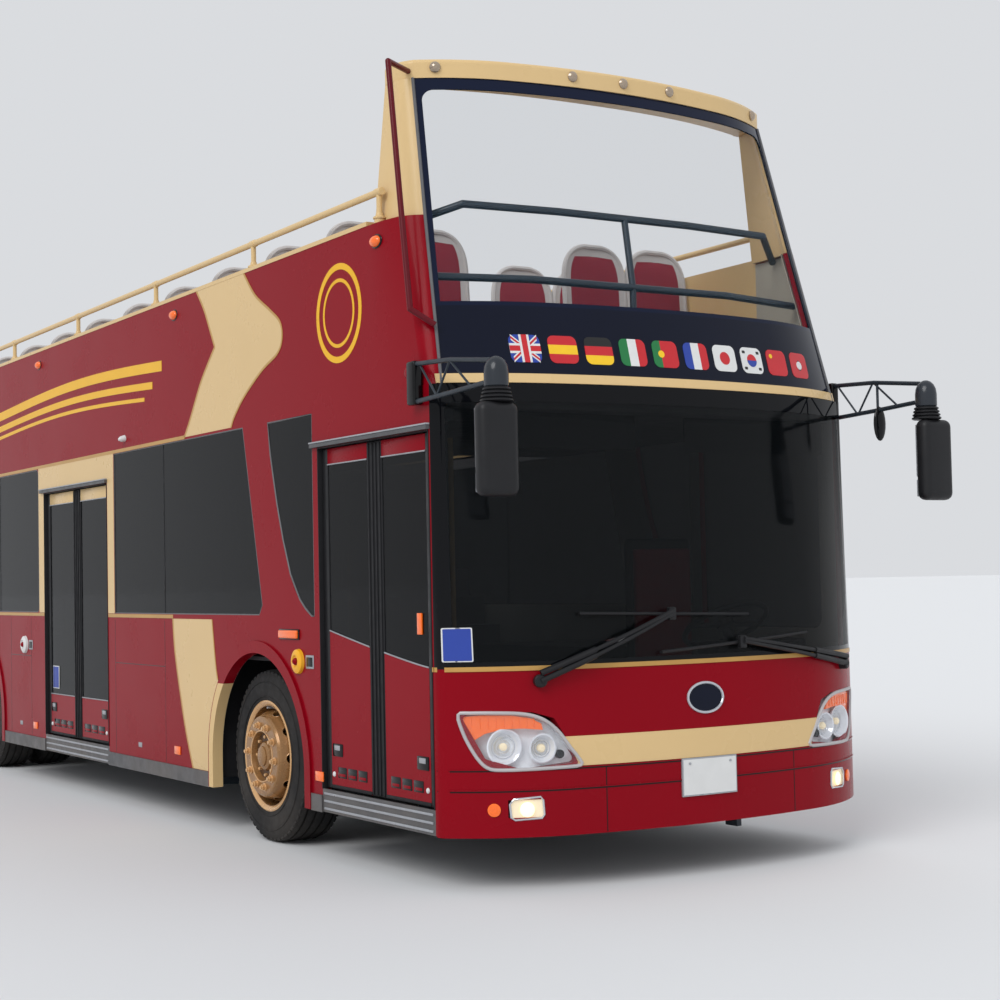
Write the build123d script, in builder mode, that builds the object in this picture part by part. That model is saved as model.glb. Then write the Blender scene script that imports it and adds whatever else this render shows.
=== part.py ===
from build123d import *
import math
import os

# Open top double decker bus. Millimetres. +Z up, front towards -Y,
# +X is the bus's left (driver's side), doors are in the -X side.
# "datum" is the Y of the front corner reference: stations such as 2262 are
# measured rearwards from it.

datum = -5246.0

half_width = 1250.0
wall_t = 50.0
front_t = 45.0
skirt_z = 250.0
sill_z = 1240.0
head_z = 2285.0
waist_z = 3143.0
strip_z = 2310.0
apron_top_z = 2690.0
glass_top_z = 3850.0
panel_top_z = 1005.0
bumper_top_z = 560.0
rear_y = datum + 10860.0
rear_corner_r = 150.0
glass_t = 8.0

corner_y = datum + 300.0
fin_rear_y = datum + 880.0

low_floor_z = 335.0
low_floor_t = 35.0
rear_floor_z = 680.0
rear_floor_y = datum + 6400.0
engine_wall_y = datum + 9050.0
engine_top_z = 1300.0
deck_z = 2265.0
deck_t = 65.0

front_axle_y = datum + 2262.0
rear_axle_y = datum + 7630.0
axle_z = 470.0
tyre_r = 470.0
bead_r = 290.0
kingpin_x = 800.0
arch_r = 605.0
arch_z = 430.0
lip_r = 672.0
lip_t = 12.0

door_head_z = 2100.0
front_door = (datum + 311.0, datum + 1465.0)
mid_door = (datum + 4635.0, datum + 5970.0)
leaf_t = 30.0
leaf_bottom_z = 372.0
leaf_top_z = 2092.0
leaf_inset = 20.0
jamb_gap = 10.0
centre_gap = 6.0
post_behind = 30.0
lead_over = 25.0
link_in = 40.0
post_r = 12.0
pin_r = 6.0
pin_fit = 6.08

stair_x = (480.0, 1150.0)
stair_y = (datum + 3000.0, datum + 4800.0)
well_x = (470.0, 1165.0)
well_y = (datum + 2960.0, datum + 4810.0)
risers = 10

rail_top_z = 3314.0
rail_r = 17.0
rail_pitch = 1484.0
first_post_y = datum + 795.0

os.makedirs("parts", exist_ok=True)


def slab(x, y, z, mode=Mode.ADD):
    centre = ((x[0] + x[1]) / 2, (y[0] + y[1]) / 2, (z[0] + z[1]) / 2)
    with Locations(centre):
        Box(abs(x[1] - x[0]), y[1] - y[0], z[1] - z[0], mode=mode)


def rod(p, q, r, mode=Mode.ADD):
    run = Vector(*q) - Vector(*p)
    with Locations(Plane(origin=p, z_dir=run)):
        Cylinder(r, run.length, align=(Align.CENTER, Align.CENTER, Align.MIN), mode=mode)


def pipe(points, r):
    for i in range(len(points) - 1):
        rod(points[i], points[i + 1], r)
    for p in points[1:-1]:
        with Locations(p):
            Sphere(r)


# Front curve in plan: x, distance behind the datum, outward normal x, y.
# Listed from the body side to where the flat middle arc starts.
nose_bumper = (
    (1250.0, 300.0, 1.0, 0.0),
    (1243.9, 269.4, 0.924, -0.383),
    (1226.6, 243.4, 0.707, -0.707),
    (984.2, 64.0, 0.469, -0.883),
    (700.0, -36.6, 0.191, -0.982),
)
nose_waist = (
    (1250.0, 300.0, 1.0, 0.0),
    (1243.9, 271.0, 0.924, -0.383),
    (1226.6, 246.0, 0.707, -0.707),
    (984.2, 78.0, 0.469, -0.883),
    (700.0, -14.0, 0.191, -0.982),
)
nose_strip = (
    (1250.0, 300.0, 1.0, 0.0),
    (1238.0, 283.0, 0.8, -0.6),
    (1205.0, 266.0, 0.45, -0.893),
    (950.0, 160.0, 0.33, -0.944),
    (670.0, 96.0, 0.16, -0.987),
)
upper_low = (
    (1190.0, 286.0, 0.45, -0.893),
    (950.0, 172.0, 0.33, -0.944),
    (660.0, 102.0, 0.16, -0.987),
)
upper_high = (
    (1079.0, 700.0, 0.45, -0.893),
    (866.0, 587.0, 0.33, -0.944),
    (601.0, 514.0, 0.16, -0.987),
)


def blend(a, b, f):
    return tuple(tuple(p * (1 - f) + q * f for p, q in zip(u, v)) for u, v in zip(a, b))


def nose_face(z, half, middle, t, skin=0.0):
    outer = [(x + skin * nx, datum + y + skin * ny) for x, y, nx, ny in half]
    inner = [(x - t * nx, datum + y - t * ny) for x, y, nx, ny in half]
    with BuildSketch(Plane.XY.offset(z)) as sk:
        with BuildLine():
            for line, mid in ((outer, datum + middle - skin), (inner, datum + middle + t)):
                for i in range(0, len(line) - 1, 2):
                    a, b, c = line[i], line[i + 1], line[i + 2]
                    ThreePointArc(a, b, c)
                    ThreePointArc((-a[0], a[1]), (-b[0], b[1]), (-c[0], c[1]))
                e = line[-1]
                ThreePointArc((-e[0], e[1]), (0.0, mid), e)
            for s in (1, -1):
                Line((s * outer[0][0], outer[0][1]), (s * inner[0][0], inner[0][1]))
        make_face()
    return sk.sketch


def upper_face(z, t, skin=0.0):
    f = (z - strip_z) / (glass_top_z - strip_z)
    return nose_face(z, blend(upper_low, upper_high, f), 50.0 + f * 410.0, t, skin)


# Windows of one side, drawn in the plane of the wall: Y and Z.
def windows(x, door_side):
    with BuildSketch(Plane.YZ.offset(x)) as sk:
        with BuildLine():
            Line((datum + 1528, 1236), (datum + 1528, head_z))
            Line((datum + 1528, head_z), (datum + 2079, head_z))
            ThreePointArc((datum + 2079, head_z), (datum + 1972, 1830), (datum + 1816, 1454))
            ThreePointArc((datum + 1816, 1454), (datum + 1705, 1322), (datum + 1565, 1236))
            Line((datum + 1565, 1236), (datum + 1528, 1236))
        make_face()
        with BuildLine():
            Polyline(
                (datum + 2406, head_z), (datum + 4500, head_z), (datum + 4500, sill_z),
                (datum + 2215, sill_z), (datum + 2171, 1295), close=True)
        make_face()
        for y0, y1 in ((6100, 8060), (8130, 10080)):
            with Locations((datum + (y0 + y1) / 2, (sill_z + head_z) / 2)):
                RectangleRounded(y1 - y0, head_z - sill_z, 45)
        if not door_side:
            with Locations((datum + 930, 1700)):
                RectangleRounded(1020, 1170, 60)
            with Locations((datum + 5300, (sill_z + head_z) / 2)):
                RectangleRounded(1460, head_z - sill_z, 45)
    return sk.sketch


def arch_hole(x, axle):
    with BuildSketch(Plane.YZ.offset(x)) as sk:
        with Locations((axle, arch_z)):
            Circle(arch_r)
        with Locations((axle, arch_z - 150)):
            Rectangle(2 * arch_r, 300)
    return sk.sketch


def arch_lip(x, axle):
    with BuildSketch(Plane.YZ.offset(x)) as sk:
        with Locations((axle, arch_z)):
            Circle(lip_r)
        with Locations((axle, (arch_z + skirt_z) / 2)):
            Rectangle(2 * lip_r, arch_z - skirt_z)
        with Locations((axle, arch_z)):
            Circle(arch_r, mode=Mode.SUBTRACT)
        with Locations((axle, arch_z - 300)):
            Rectangle(2 * arch_r, 600, mode=Mode.SUBTRACT)
        with Locations((axle, skirt_z - 400)):
            Rectangle(3 * lip_r, 800, mode=Mode.SUBTRACT)
    return sk.sketch


def wall_outline(x):
    rear = rear_y - rear_corner_r
    with BuildSketch(Plane.YZ.offset(x)) as sk:
        with BuildLine():
            Polyline(
                (corner_y, skirt_z), (rear, skirt_z), (rear, waist_z),
                (fin_rear_y, waist_z), (fin_rear_y, strip_z), (corner_y, strip_z), close=True)
        make_face()
    return sk.sketch


with BuildPart() as side_wall_right:
    extrude(wall_outline(-half_width), amount=wall_t)
    for axle in (front_axle_y, rear_axle_y):
        extrude(arch_lip(-half_width - lip_t, axle), amount=lip_t)
    extrude(windows(-half_width - 10, True), amount=wall_t + 20, mode=Mode.SUBTRACT)
    for y0, y1 in (front_door, mid_door):
        slab((-half_width - 10, -half_width + wall_t + 10), (y0, y1), (150, door_head_z), Mode.SUBTRACT)
    for axle in (front_axle_y, rear_axle_y):
        extrude(arch_hole(-half_width - 20, axle), amount=wall_t + 40, mode=Mode.SUBTRACT)
side_wall_right.part.label = "side_wall_right"
export_step(side_wall_right.part, "parts/side_wall_right.step")

with BuildPart() as side_wall_left:
    extrude(wall_outline(half_width - wall_t), amount=wall_t)
    for axle in (front_axle_y, rear_axle_y):
        extrude(arch_lip(half_width, axle), amount=lip_t)
    extrude(windows(half_width - wall_t - 10, False), amount=wall_t + 20, mode=Mode.SUBTRACT)
    for axle in (front_axle_y, rear_axle_y):
        extrude(arch_hole(half_width - wall_t - 20, axle), amount=wall_t + 40, mode=Mode.SUBTRACT)
side_wall_left.part.label = "side_wall_left"
export_step(side_wall_left.part, "parts/side_wall_left.step")

# Panes lie in the window openings, just behind the outer skin.
with BuildPart() as side_glass:
    extrude(windows(-half_width + 4, True), amount=glass_t)
    extrude(windows(half_width - 4 - glass_t, False), amount=glass_t)
    slab((-800, 800), (rear_y - 4 - glass_t, rear_y - 4), (1520, 2200))
side_glass.part.label = "side_glass"
export_step(side_glass.part, "parts/side_glass.step")

with BuildPart() as rear_wall:
    with BuildSketch(Plane.XY.offset(skirt_z)):
        with Locations((0, rear_y - 200)):
            Rectangle(2 * half_width, 400)
        with Locations((0, rear_y - 200 - wall_t)):
            Rectangle(2 * half_width - 2 * wall_t, 400, mode=Mode.SUBTRACT)
        with Locations((0, rear_y - 300 - rear_corner_r)):
            Rectangle(3 * half_width, 600, mode=Mode.SUBTRACT)
    extrude(amount=waist_z - skirt_z)
    outer = rear_wall.edges().filter_by(Axis.Z).group_by(Axis.Y)[-1]
    fillet(outer, rear_corner_r - 10)
    slab((-800, 800), (rear_y - 100, rear_y + 50), (1520, 2200), Mode.SUBTRACT)
rear_wall.part.label = "rear_wall"
export_step(rear_wall.part, "parts/rear_wall.step")


def lamp_outline(y, s):
    with BuildSketch(Plane.XZ.offset(-y)) as sk:
        with BuildLine():
            Polyline(
                (s * 1176, 796), (s * 900, 806), (s * 800, 775), (s * 690, 575),
                (s * 940, 548), (s * 1090, 600), close=True)
        make_face()
        fillet(sk.vertices(), 18)
    return sk.sketch


with BuildPart() as front_panel:
    extrude(nose_face(245, nose_bumper, -104, front_t), amount=bumper_top_z - 245)
    loft([nose_face(bumper_top_z, nose_bumper, -104, front_t),
          nose_face(panel_top_z, nose_waist, -80, front_t)], ruled=True)
    for s in (1, -1):
        extrude(lamp_outline(datum + 420, s), amount=600, mode=Mode.SUBTRACT)
        with Locations((s * 932, datum + 60, 374)):
            Box(150, 300, 80, mode=Mode.SUBTRACT)
front_panel.part.label = "front_panel"
export_step(front_panel.part, "parts/front_panel.step")

with BuildPart() as lower_windscreen:
    loft([nose_face(panel_top_z, nose_waist, -80, 12),
          nose_face(strip_z, nose_strip, 45, 12)], ruled=True)
lower_windscreen.part.label = "lower_windscreen"
export_step(lower_windscreen.part, "parts/lower_windscreen.step")

with BuildPart() as front_apron:
    loft([upper_face(strip_z, front_t), upper_face(apron_top_z, front_t)], ruled=True)
front_apron.part.label = "front_apron"
export_step(front_apron.part, "parts/front_apron.step")

with BuildPart() as upper_windscreen:
    loft([upper_face(apron_top_z, 12), upper_face(glass_top_z, 12)], ruled=True)
upper_windscreen.part.label = "upper_windscreen"
export_step(upper_windscreen.part, "parts/upper_windscreen.step")


# Panel between the flat side and the raked glass, one section of it.
def corner_face(z, s, pts, t):
    a, m, b, n, c = pts
    with BuildSketch(Plane.XY.offset(z)) as sk:
        with BuildLine():
            ThreePointArc((s * a[0], datum + a[1]), (s * m[0], datum + m[1]), (s * b[0], datum + b[1]))
            ThreePointArc((s * b[0], datum + b[1]), (s * n[0], datum + n[1]), (s * c[0], datum + c[1]))
            Line((s * c[0], datum + c[1]), (s * (c[0] - 8), datum + c[1] + t))
            ThreePointArc(
                (s * (c[0] - 8), datum + c[1] + t),
                (s * (n[0] - 0.75 * t), datum + n[1] + 0.75 * t),
                (s * (b[0] - t), datum + b[1] + 5))
            ThreePointArc(
                (s * (b[0] - t), datum + b[1] + 5), (s * (m[0] - t), datum + m[1]),
                (s * (a[0] - t), datum + a[1]))
            Line((s * (a[0] - t), datum + a[1]), (s * a[0], datum + a[1]))
        make_face()
    return sk.sketch


corner_low = ((1250, 880), (1249.5, 600), (1246, 360), (1228, 311), (1190, 286))
corner_high = ((1250, 880), (1244, 740), (1222, 610), (1185, 553), (1131, 513))
with BuildPart() as upper_corners:
    for s in (1, -1):
        loft([corner_face(strip_z, s, corner_low, wall_t),
              corner_face(waist_z, s, corner_high, wall_t)], ruled=True)
upper_corners.part.label = "upper_corners"
export_step(upper_corners.part, "parts/upper_corners.step")

fin_low = ((1205, 880), (1204, 760), (1190, 630), (1170, 560), (1131, 513))
fin_high = ((1135, 880), (1135, 840), (1131, 800), (1115, 735), (1079, 700))
with BuildPart() as windscreen_hood:
    for s in (1, -1):
        loft([corner_face(waist_z, s, fin_low, 34),
              corner_face(glass_top_z, s, fin_high, 34)], ruled=True)
    with BuildSketch(Plane.XY.offset(glass_top_z)):
        with BuildLine():
            ThreePointArc((-1135, fin_rear_y), (-1131, datum + 790), (-1079, datum + 695))
            ThreePointArc((-1079, datum + 695), (-866, datum + 580), (-601, datum + 507))
            ThreePointArc((-601, datum + 507), (0, datum + 450), (601, datum + 507))
            ThreePointArc((601, datum + 507), (866, datum + 580), (1079, datum + 695))
            ThreePointArc((1079, datum + 695), (1131, datum + 790), (1135, fin_rear_y))
            Line((1135, fin_rear_y), (-1135, fin_rear_y))
        make_face()
    extrude(amount=95)
    top = windscreen_hood.faces().sort_by(Axis.Z)[-1]
    fillet(top.edges(), 22)
    slab((-1060, 1060), (datum + 760, fin_rear_y + 50), (glass_top_z - 20, glass_top_z + 65), Mode.SUBTRACT)
    slab((-800, 800), (datum + 600, fin_rear_y + 50), (glass_top_z - 20, glass_top_z + 65), Mode.SUBTRACT)
windscreen_hood.part.label = "windscreen_hood"
export_step(windscreen_hood.part, "parts/windscreen_hood.step")

inside = half_width - wall_t
with BuildPart() as upper_deck:
    with BuildSketch(Plane.XY.offset(deck_z - deck_t)):
        with BuildLine():
            Polyline(
                (-inside, corner_y + 30), (-1000, datum + 250), (-660, datum + 150), (0, datum + 105),
                (660, datum + 150), (1000, datum + 250), (inside, corner_y + 30),
                (inside, rear_y - rear_corner_r), (half_width - 115, rear_y - 60),
                (-half_width + 115, rear_y - 60), (-inside, rear_y - rear_corner_r), close=True)
        make_face()
    extrude(amount=deck_t)
    slab(well_x, well_y, (2000, 2400), Mode.SUBTRACT)
upper_deck.part.label = "upper_deck"
export_step(upper_deck.part, "parts/upper_deck.step")

box_y = 645.0
box_in = 540.0
rear_box_y = 590.0
rear_box_in = 515.0
with BuildPart() as lower_deck:
    slab((-inside, inside), (datum + 330, rear_floor_y), (low_floor_z - low_floor_t, low_floor_z))
    slab((-950, 950), (datum + 150, datum + 335), (low_floor_z - low_floor_t, low_floor_z))
    slab((-inside, inside), (rear_floor_y - 30, rear_floor_y), (low_floor_z - low_floor_t, rear_floor_z))
    slab((-inside, inside), (rear_floor_y - 30, engine_wall_y), (rear_floor_z - 35, rear_floor_z))
    slab((-inside, inside), (engine_wall_y - 35, engine_wall_y), (rear_floor_z - 35, engine_top_z))
    slab((-inside, inside), (engine_wall_y - 35, rear_y - rear_corner_r), (engine_top_z - 35, engine_top_z))
    for s in (1, -1):
        front_x = sorted((s * box_in, s * 1300))
        slab(front_x, (front_axle_y - box_y, front_axle_y + box_y), (200, 900), Mode.SUBTRACT)
        rear_x = sorted((s * rear_box_in, s * 1300))
        slab(rear_x, (rear_axle_y - rear_box_y, rear_axle_y + rear_box_y), (200, 900), Mode.SUBTRACT)
lower_deck.part.label = "lower_deck"
export_step(lower_deck.part, "parts/lower_deck.step")

with BuildPart() as wheel_boxes:
    for s in (1, -1):
        for axle, half, inner, low, top in (
                (front_axle_y, box_y, box_in, low_floor_z - low_floor_t, 1010),
                (rear_axle_y, rear_box_y, rear_box_in, rear_floor_z - 35, 1045)):
            slab(sorted((s * inner, s * inside)), (axle - half, axle + half), (low, top))
            slab(sorted((s * (inner + 20), s * 1300)), (axle - half + 15, axle + half - 15),
                 (low - 10, top - 20), Mode.SUBTRACT)
wheel_boxes.part.label = "wheel_boxes"
export_step(wheel_boxes.part, "parts/wheel_boxes.step")

# Cream hand rail on posts along both sides and round the rear.
rail_x = 1225.0
with BuildPart() as deck_rails:
    tube_z = rail_top_z - rail_r
    pipe([(-rail_x, fin_rear_y - 90, tube_z), (-rail_x, rear_y - 170, tube_z),
          (-rail_x + 145, rear_y - 30, tube_z), (rail_x - 145, rear_y - 30, tube_z),
          (rail_x, rear_y - 170, tube_z), (rail_x, fin_rear_y - 90, tube_z)], rail_r)
deck_rails.part.label = "deck_rails"
export_step(deck_rails.part, "parts/deck_rails.step")

with BuildPart() as deck_capping:
    for s in (1, -1):
        slab(sorted((s * (half_width - wall_t), s * (half_width + 3))),
             (fin_rear_y, rear_y - rear_corner_r), (waist_z, waist_z + 22))
deck_capping.part.label = "deck_capping"
export_step(deck_capping.part, "parts/deck_capping.step")

with BuildPart() as rail_posts:
    for s in (1, -1):
        for i in range(7):
            y = first_post_y + i * rail_pitch
            rod((s * rail_x, y, waist_z), (s * rail_x, y, tube_z), 14)
            rod((s * rail_x, y, waist_z), (s * rail_x, y, waist_z + 32), 26)
        rod((s * 600, rear_y - 30, waist_z), (s * 600, rear_y - 30, tube_z), 14)
    add(deck_rails.part, mode=Mode.SUBTRACT)
    add(deck_capping.part, mode=Mode.SUBTRACT)
    add(windscreen_hood.part, mode=Mode.SUBTRACT)
rail_posts.part.label = "rail_posts"
export_step(rail_posts.part, "parts/rail_posts.step")

# Dark guard bars behind the upper glass, and the rail round the stairwell.
with BuildPart() as guard_rail:
    pipe([(-1165, datum + 700, 3120), (-930, datum + 500, 3210), (-400, datum + 470, 3215),
          (400, datum + 470, 3215), (930, datum + 500, 3210), (1165, datum + 700, 3120)], 19)
    pipe([(-1150, datum + 520, 2850), (-600, datum + 410, 2855), (600, datum + 410, 2855),
          (1150, datum + 520, 2850)], 19)
    rod((0, datum + 410, deck_z), (0, datum + 410, 2855), 17)
    rod((0, datum + 410, 2855), (0, datum + 470, 3215), 17)
    rail = [(well_x[0] - 25, well_y[1] + 20, deck_z), (well_x[0] - 25, well_y[1] + 20, 3165),
            (well_x[0] - 25, well_y[0] - 25, 3165), (inside, well_y[0] - 25, 3165)]
    pipe(rail, 16)
    rod((well_x[0] - 25, well_y[0] - 25, deck_z), (well_x[0] - 25, well_y[0] - 25, 3165), 16)
    rod((well_x[0] - 25, datum + 3900, deck_z), (well_x[0] - 25, datum + 3900, 3165), 14)
guard_rail.part.label = "guard_rail"
export_step(guard_rail.part, "parts/guard_rail.step")


# One double seat: two pedestals, a bench and two backs with round tops.
def double_seat(x, y, floor):
    seat_z = floor + 400
    slab((x - 20, x + 20), (y - 100, y + 100), (floor, seat_z))
    slab((x - 430, x + 430), (y - 210, y + 190), (seat_z, seat_z + 45))
    for side in (-1, 1):
        px = x + side * 217
        slab((px - 205, px + 205), (y + 150, y + 190), (seat_z + 45, seat_z + 420))
        with Locations(Plane(origin=(px, y + 170, seat_z + 420), z_dir=(0, 1, 0))):
            Cylinder(205, 40)


row_pitch = 760.0
seat_x = 745.0
with BuildPart() as seats_upper:
    for i in range(12):
        y = datum + 1350 + i * row_pitch
        double_seat(-seat_x, y, deck_z)
        if not well_y[0] - 320 < y < well_y[1] + 320:
            double_seat(seat_x, y, deck_z)
seats_upper.part.label = "seats_upper"
export_step(seats_upper.part, "parts/seats_upper.step")

with BuildPart() as seats_lower:
    for y in (3200, 3960):
        double_seat(-seat_x, datum + y, low_floor_z)
    for y in (5500, 6080):
        double_seat(seat_x, datum + y, low_floor_z)
    for s in (1, -1):
        for y in (6700, 8560):
            double_seat(s * seat_x, datum + y, rear_floor_z)
    slab((640, 700), (datum + 900, datum + 960), (560, 830))
    slab((450, 890), (datum + 700, datum + 1180), (830, 900))
    slab((450, 890), (datum + 1130, datum + 1190), (900, 1620))
seats_lower.part.label = "seats_lower"
export_step(seats_lower.part, "parts/seats_lower.step")

# Cab floor, dash and steering column. The wheel is tilted back by 30 deg.
column = Plane(origin=(670, datum + 560, 1120), x_dir=(1, 0, 0),
               z_dir=(0, math.sin(math.radians(30)), math.cos(math.radians(30))))
with BuildPart() as dashboard:
    slab((250, 1150), (datum + 300, datum + 1380), (low_floor_z, 560))
    slab((-630, 950), (datum + 160, datum + 300), (low_floor_z, 900))
    slab((-950, -630), (datum + 160, datum + 228), (low_floor_z, 900))
    slab((200, 1150), (datum + 290, datum + 430), (560, 1000))
    with Locations(column):
        Cylinder(30, 330, align=(Align.CENTER, Align.CENTER, Align.MAX))
        Cylinder(12, 60, align=(Align.CENTER, Align.CENTER, Align.MIN))
dashboard.part.label = "dashboard"
export_step(dashboard.part, "parts/dashboard.step")

with BuildPart() as steering_wheel:
    with Locations(column):
        with Locations((0, 0, 32)):
            Torus(225, 15)
            Box(440, 34, 14)
            Cylinder(50, 34)
            Cylinder(12.08, 60, mode=Mode.SUBTRACT)
steering_wheel.part.label = "steering_wheel"
export_step(steering_wheel.part, "parts/steering_wheel.step")

with BuildPart() as staircase:
    rise = (deck_z - low_floor_z) / risers
    going = (stair_y[1] - stair_y[0]) / (risers - 1)
    with BuildSketch(Plane.YZ.offset(stair_x[0])):
        with BuildLine():
            pts = [(stair_y[0], low_floor_z)]
            for i in range(risers - 1):
                y = stair_y[0] + i * going
                z = low_floor_z + (i + 1) * rise
                pts += [(y, z), (y + going, z)]
            end = pts[-1]
            pts += [(end[0], end[1] - 240), (stair_y[0] + 250, low_floor_z)]
            Polyline(*pts, close=True)
        make_face()
    extrude(amount=stair_x[1] - stair_x[0])
staircase.part.label = "staircase"
export_step(staircase.part, "parts/staircase.step")

with BuildPart() as grab_poles:
    for x, y, z in (
            (-290, 1760, low_floor_z), (-290, 3560, low_floor_z), (-290, 4420, low_floor_z),
            (290, 5000, low_floor_z), (-290, 6300, low_floor_z), (290, 6300, low_floor_z),
            (-290, 8200, rear_floor_z), (290, 8200, rear_floor_z)):
        rod((x, datum + y, z), (x, datum + y, deck_z - deck_t), 16)
grab_poles.part.label = "grab_poles"
export_step(grab_poles.part, "parts/grab_poles.step")

frame_x = 465.0
with BuildPart() as chassis_frame:
    for s in (1, -1):
        x = (s * frame_x - 35, s * frame_x + 35)
        slab(x, (datum + 150, datum + 6600), (230, 300))
        slab(x, (datum + 6500, datum + 6600), (230, 645))
        slab(x, (datum + 6500, rear_y - 55), (560, 645))
    for s in (1, -1):
        for y in (1000, 5500):
            slab((s * frame_x - 30, s * frame_x + 30), (datum + y - 60, datum + y + 60), (222, 230))
    for y in (300, 6300):
        slab((frame_x - 15, frame_x + 15), (datum + y - 45, datum + y + 45), (150, 240))
        with Locations(Plane(origin=(frame_x, datum + y, 190), z_dir=(1, 0, 0))):
            Cylinder(18, 60, mode=Mode.SUBTRACT)
chassis_frame.part.label = "chassis_frame"
export_step(chassis_frame.part, "parts/chassis_frame.step")

with BuildPart() as cross_members:
    bars = [(y, 250, 300) for y in (400, 1550, 3000, 4560, 6060)]
    bars += [(y, 575, 640) for y in (6500, 8400, 9150, 10500)]
    for y, z0, z1 in bars:
        for x in ((-inside, -frame_x - 35), (-frame_x + 35, frame_x - 35), (frame_x + 35, inside)):
            slab(x, (datum + y - 35, datum + y + 35), (z0, z1))
cross_members.part.label = "cross_members"
export_step(cross_members.part, "parts/cross_members.step")

with BuildPart() as engine_block:
    slab((-420, 420), (datum + 9300, datum + 10450), (420, 1150))
    slab((-430, 430), (datum + 9350, datum + 9500), (570, 630))
    slab((-430, 430), (datum + 10150, datum + 10300), (570, 630))
engine_block.part.label = "engine_block"
export_step(engine_block.part, "parts/engine_block.step")

with BuildPart() as front_axle:
    slab((-730, 730), (front_axle_y - 45, front_axle_y + 45), (155, 225))
    for s in (1, -1):
        slab(sorted((s * 680, s * 730)), (front_axle_y - 45, front_axle_y + 45), (155, 645))
        slab((s * frame_x - 40, s * frame_x + 40), (front_axle_y - 90, front_axle_y + 90), (220, 230))
        for z0, z1 in ((295, 340), (600, 645)):
            slab(sorted((s * 700, s * kingpin_x)), (front_axle_y - 45, front_axle_y + 45), (z0, z1))
            rod((s * kingpin_x, front_axle_y, z0), (s * kingpin_x, front_axle_y, z1), 45)
        rod((s * kingpin_x, front_axle_y, 300), (s * kingpin_x, front_axle_y, 640), 20)
front_axle.part.label = "front_axle"
export_step(front_axle.part, "parts/front_axle.step")

with BuildPart() as rear_axle:
    rod((-930, rear_axle_y, axle_z), (930, rear_axle_y, axle_z), 60)
    rod((-560, rear_axle_y, axle_z), (560, rear_axle_y, axle_z), 75)
    with Locations((0, rear_axle_y, axle_z)):
        Sphere(165)
    for s in (1, -1):
        slab((s * frame_x - 60, s * frame_x + 60), (rear_axle_y - 70, rear_axle_y + 70), (500, 560))
rear_axle.part.label = "rear_axle"
export_step(rear_axle.part, "parts/rear_axle.step")


def ring_profile(axle, s, points):
    plane = Plane(origin=(0, axle, axle_z), x_dir=(1, 0, 0), z_dir=(0, -1, 0))
    with BuildSketch(plane) as sk:
        with BuildLine():
            Polyline(*[(s * x, r) for x, r in points], close=True)
        make_face()
    return sk.sketch


def tyre_points(x0, x1):
    r = tyre_r
    return (
        (x0 + 10, bead_r), (x0 + 2, 335), (x0, 395), (x0 + 8, 440), (x0 + 24, r - 10), (x0 + 45, r - 2),
        ((x0 + x1) / 2, r), (x1 - 45, r - 2), (x1 - 24, r - 10), (x1 - 8, 440), (x1, 395),
        (x1 - 2, 335), (x1 - 10, bead_r))


front_tyre = (920.0, 1196.0)
rear_tyres = ((580.0, 856.0), (915.0, 1191.0))
for name, s in (("tyre_front_right", -1), ("tyre_front_left", 1)):
    with BuildPart() as tyre:
        revolve(ring_profile(front_axle_y, s, tyre_points(*front_tyre)),
                axis=Axis((0, front_axle_y, axle_z), (1, 0, 0)))
    tyre.part.label = name
    export_step(tyre.part, "parts/" + name + ".step")

for name, s in (("tyres_rear_right", -1), ("tyres_rear_left", 1)):
    with BuildPart() as tyres:
        for span in rear_tyres:
            revolve(ring_profile(rear_axle_y, s, tyre_points(*span)),
                    axis=Axis((0, rear_axle_y, axle_z), (1, 0, 0)))
    tyres.part.label = name
    export_step(tyres.part, "parts/" + name + ".step")

# Front wheel: barrel, bell that stands out past the rim edge, flat nut face, recess and hub with cap.
front_rim = (
    (935, bead_r), (935, 272), (1074, 264), (1190, 210), (1204, 198), (1208, 184), (1208, 150), (1178, 140),
    (1178, 120), (1000, 120), (1000, 45.08), (1130, 45.08), (1130, 30), (1222, 30), (1222, 58), (1214, 74),
    (1196, 82), (1196, 126), (1228, 134), (1228, 206), (1224, 216), (1212, 223), (1100, 264), (1181, 272),
    (1181, bead_r))
for name, s in (("rim_front_right", -1), ("rim_front_left", 1)):
    with BuildPart() as rim:
        revolve(ring_profile(front_axle_y, s, front_rim),
                axis=Axis((0, front_axle_y, axle_z), (1, 0, 0)))
        with Locations(Plane(origin=(s * 1222, front_axle_y, axle_z), z_dir=(s, 0, 0))):
            Cylinder(58, 92, align=(Align.CENTER, Align.CENTER, Align.MAX))
        # ten hand holes square to the flank of the bell
        with Locations(Plane(origin=(s * 1162, front_axle_y, axle_z), x_dir=(0, 1, 0), z_dir=(s, 0, 0))):
            with PolarLocations(246, 10):
                with Locations(Location((0, 0, 0), (0, 70, 0))):
                    Cylinder(27, 42, align=(Align.CENTER, Align.CENTER, Align.MAX), mode=Mode.SUBTRACT)
    rim.part.label = name
    export_step(rim.part, "parts/" + name + ".step")

rear_rim = (
    (590, bead_r), (590, 272), (800, 262), (850, 200), (850, 130), (720, 130), (720, 60.08),
    (1010, 60.08), (1010, 90), (990, 110), (925, 125), (925, 200), (970, 262), (1176, 272), (1176, bead_r),
    (925, bead_r), (925, 278), (905, 205), (865, 205), (850, 278), (846, bead_r))
for name, s in (("rims_rear_right", -1), ("rims_rear_left", 1)):
    with BuildPart() as rims:
        revolve(ring_profile(rear_axle_y, s, rear_rim),
                axis=Axis((0, rear_axle_y, axle_z), (1, 0, 0)))
        with Locations(Plane(origin=(s * 1010, rear_axle_y, axle_z), z_dir=(s, 0, 0))):
            Cylinder(90, 40, align=(Align.CENTER, Align.CENTER, Align.MIN))
    rims.part.label = name
    export_step(rims.part, "parts/" + name + ".step")

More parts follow.
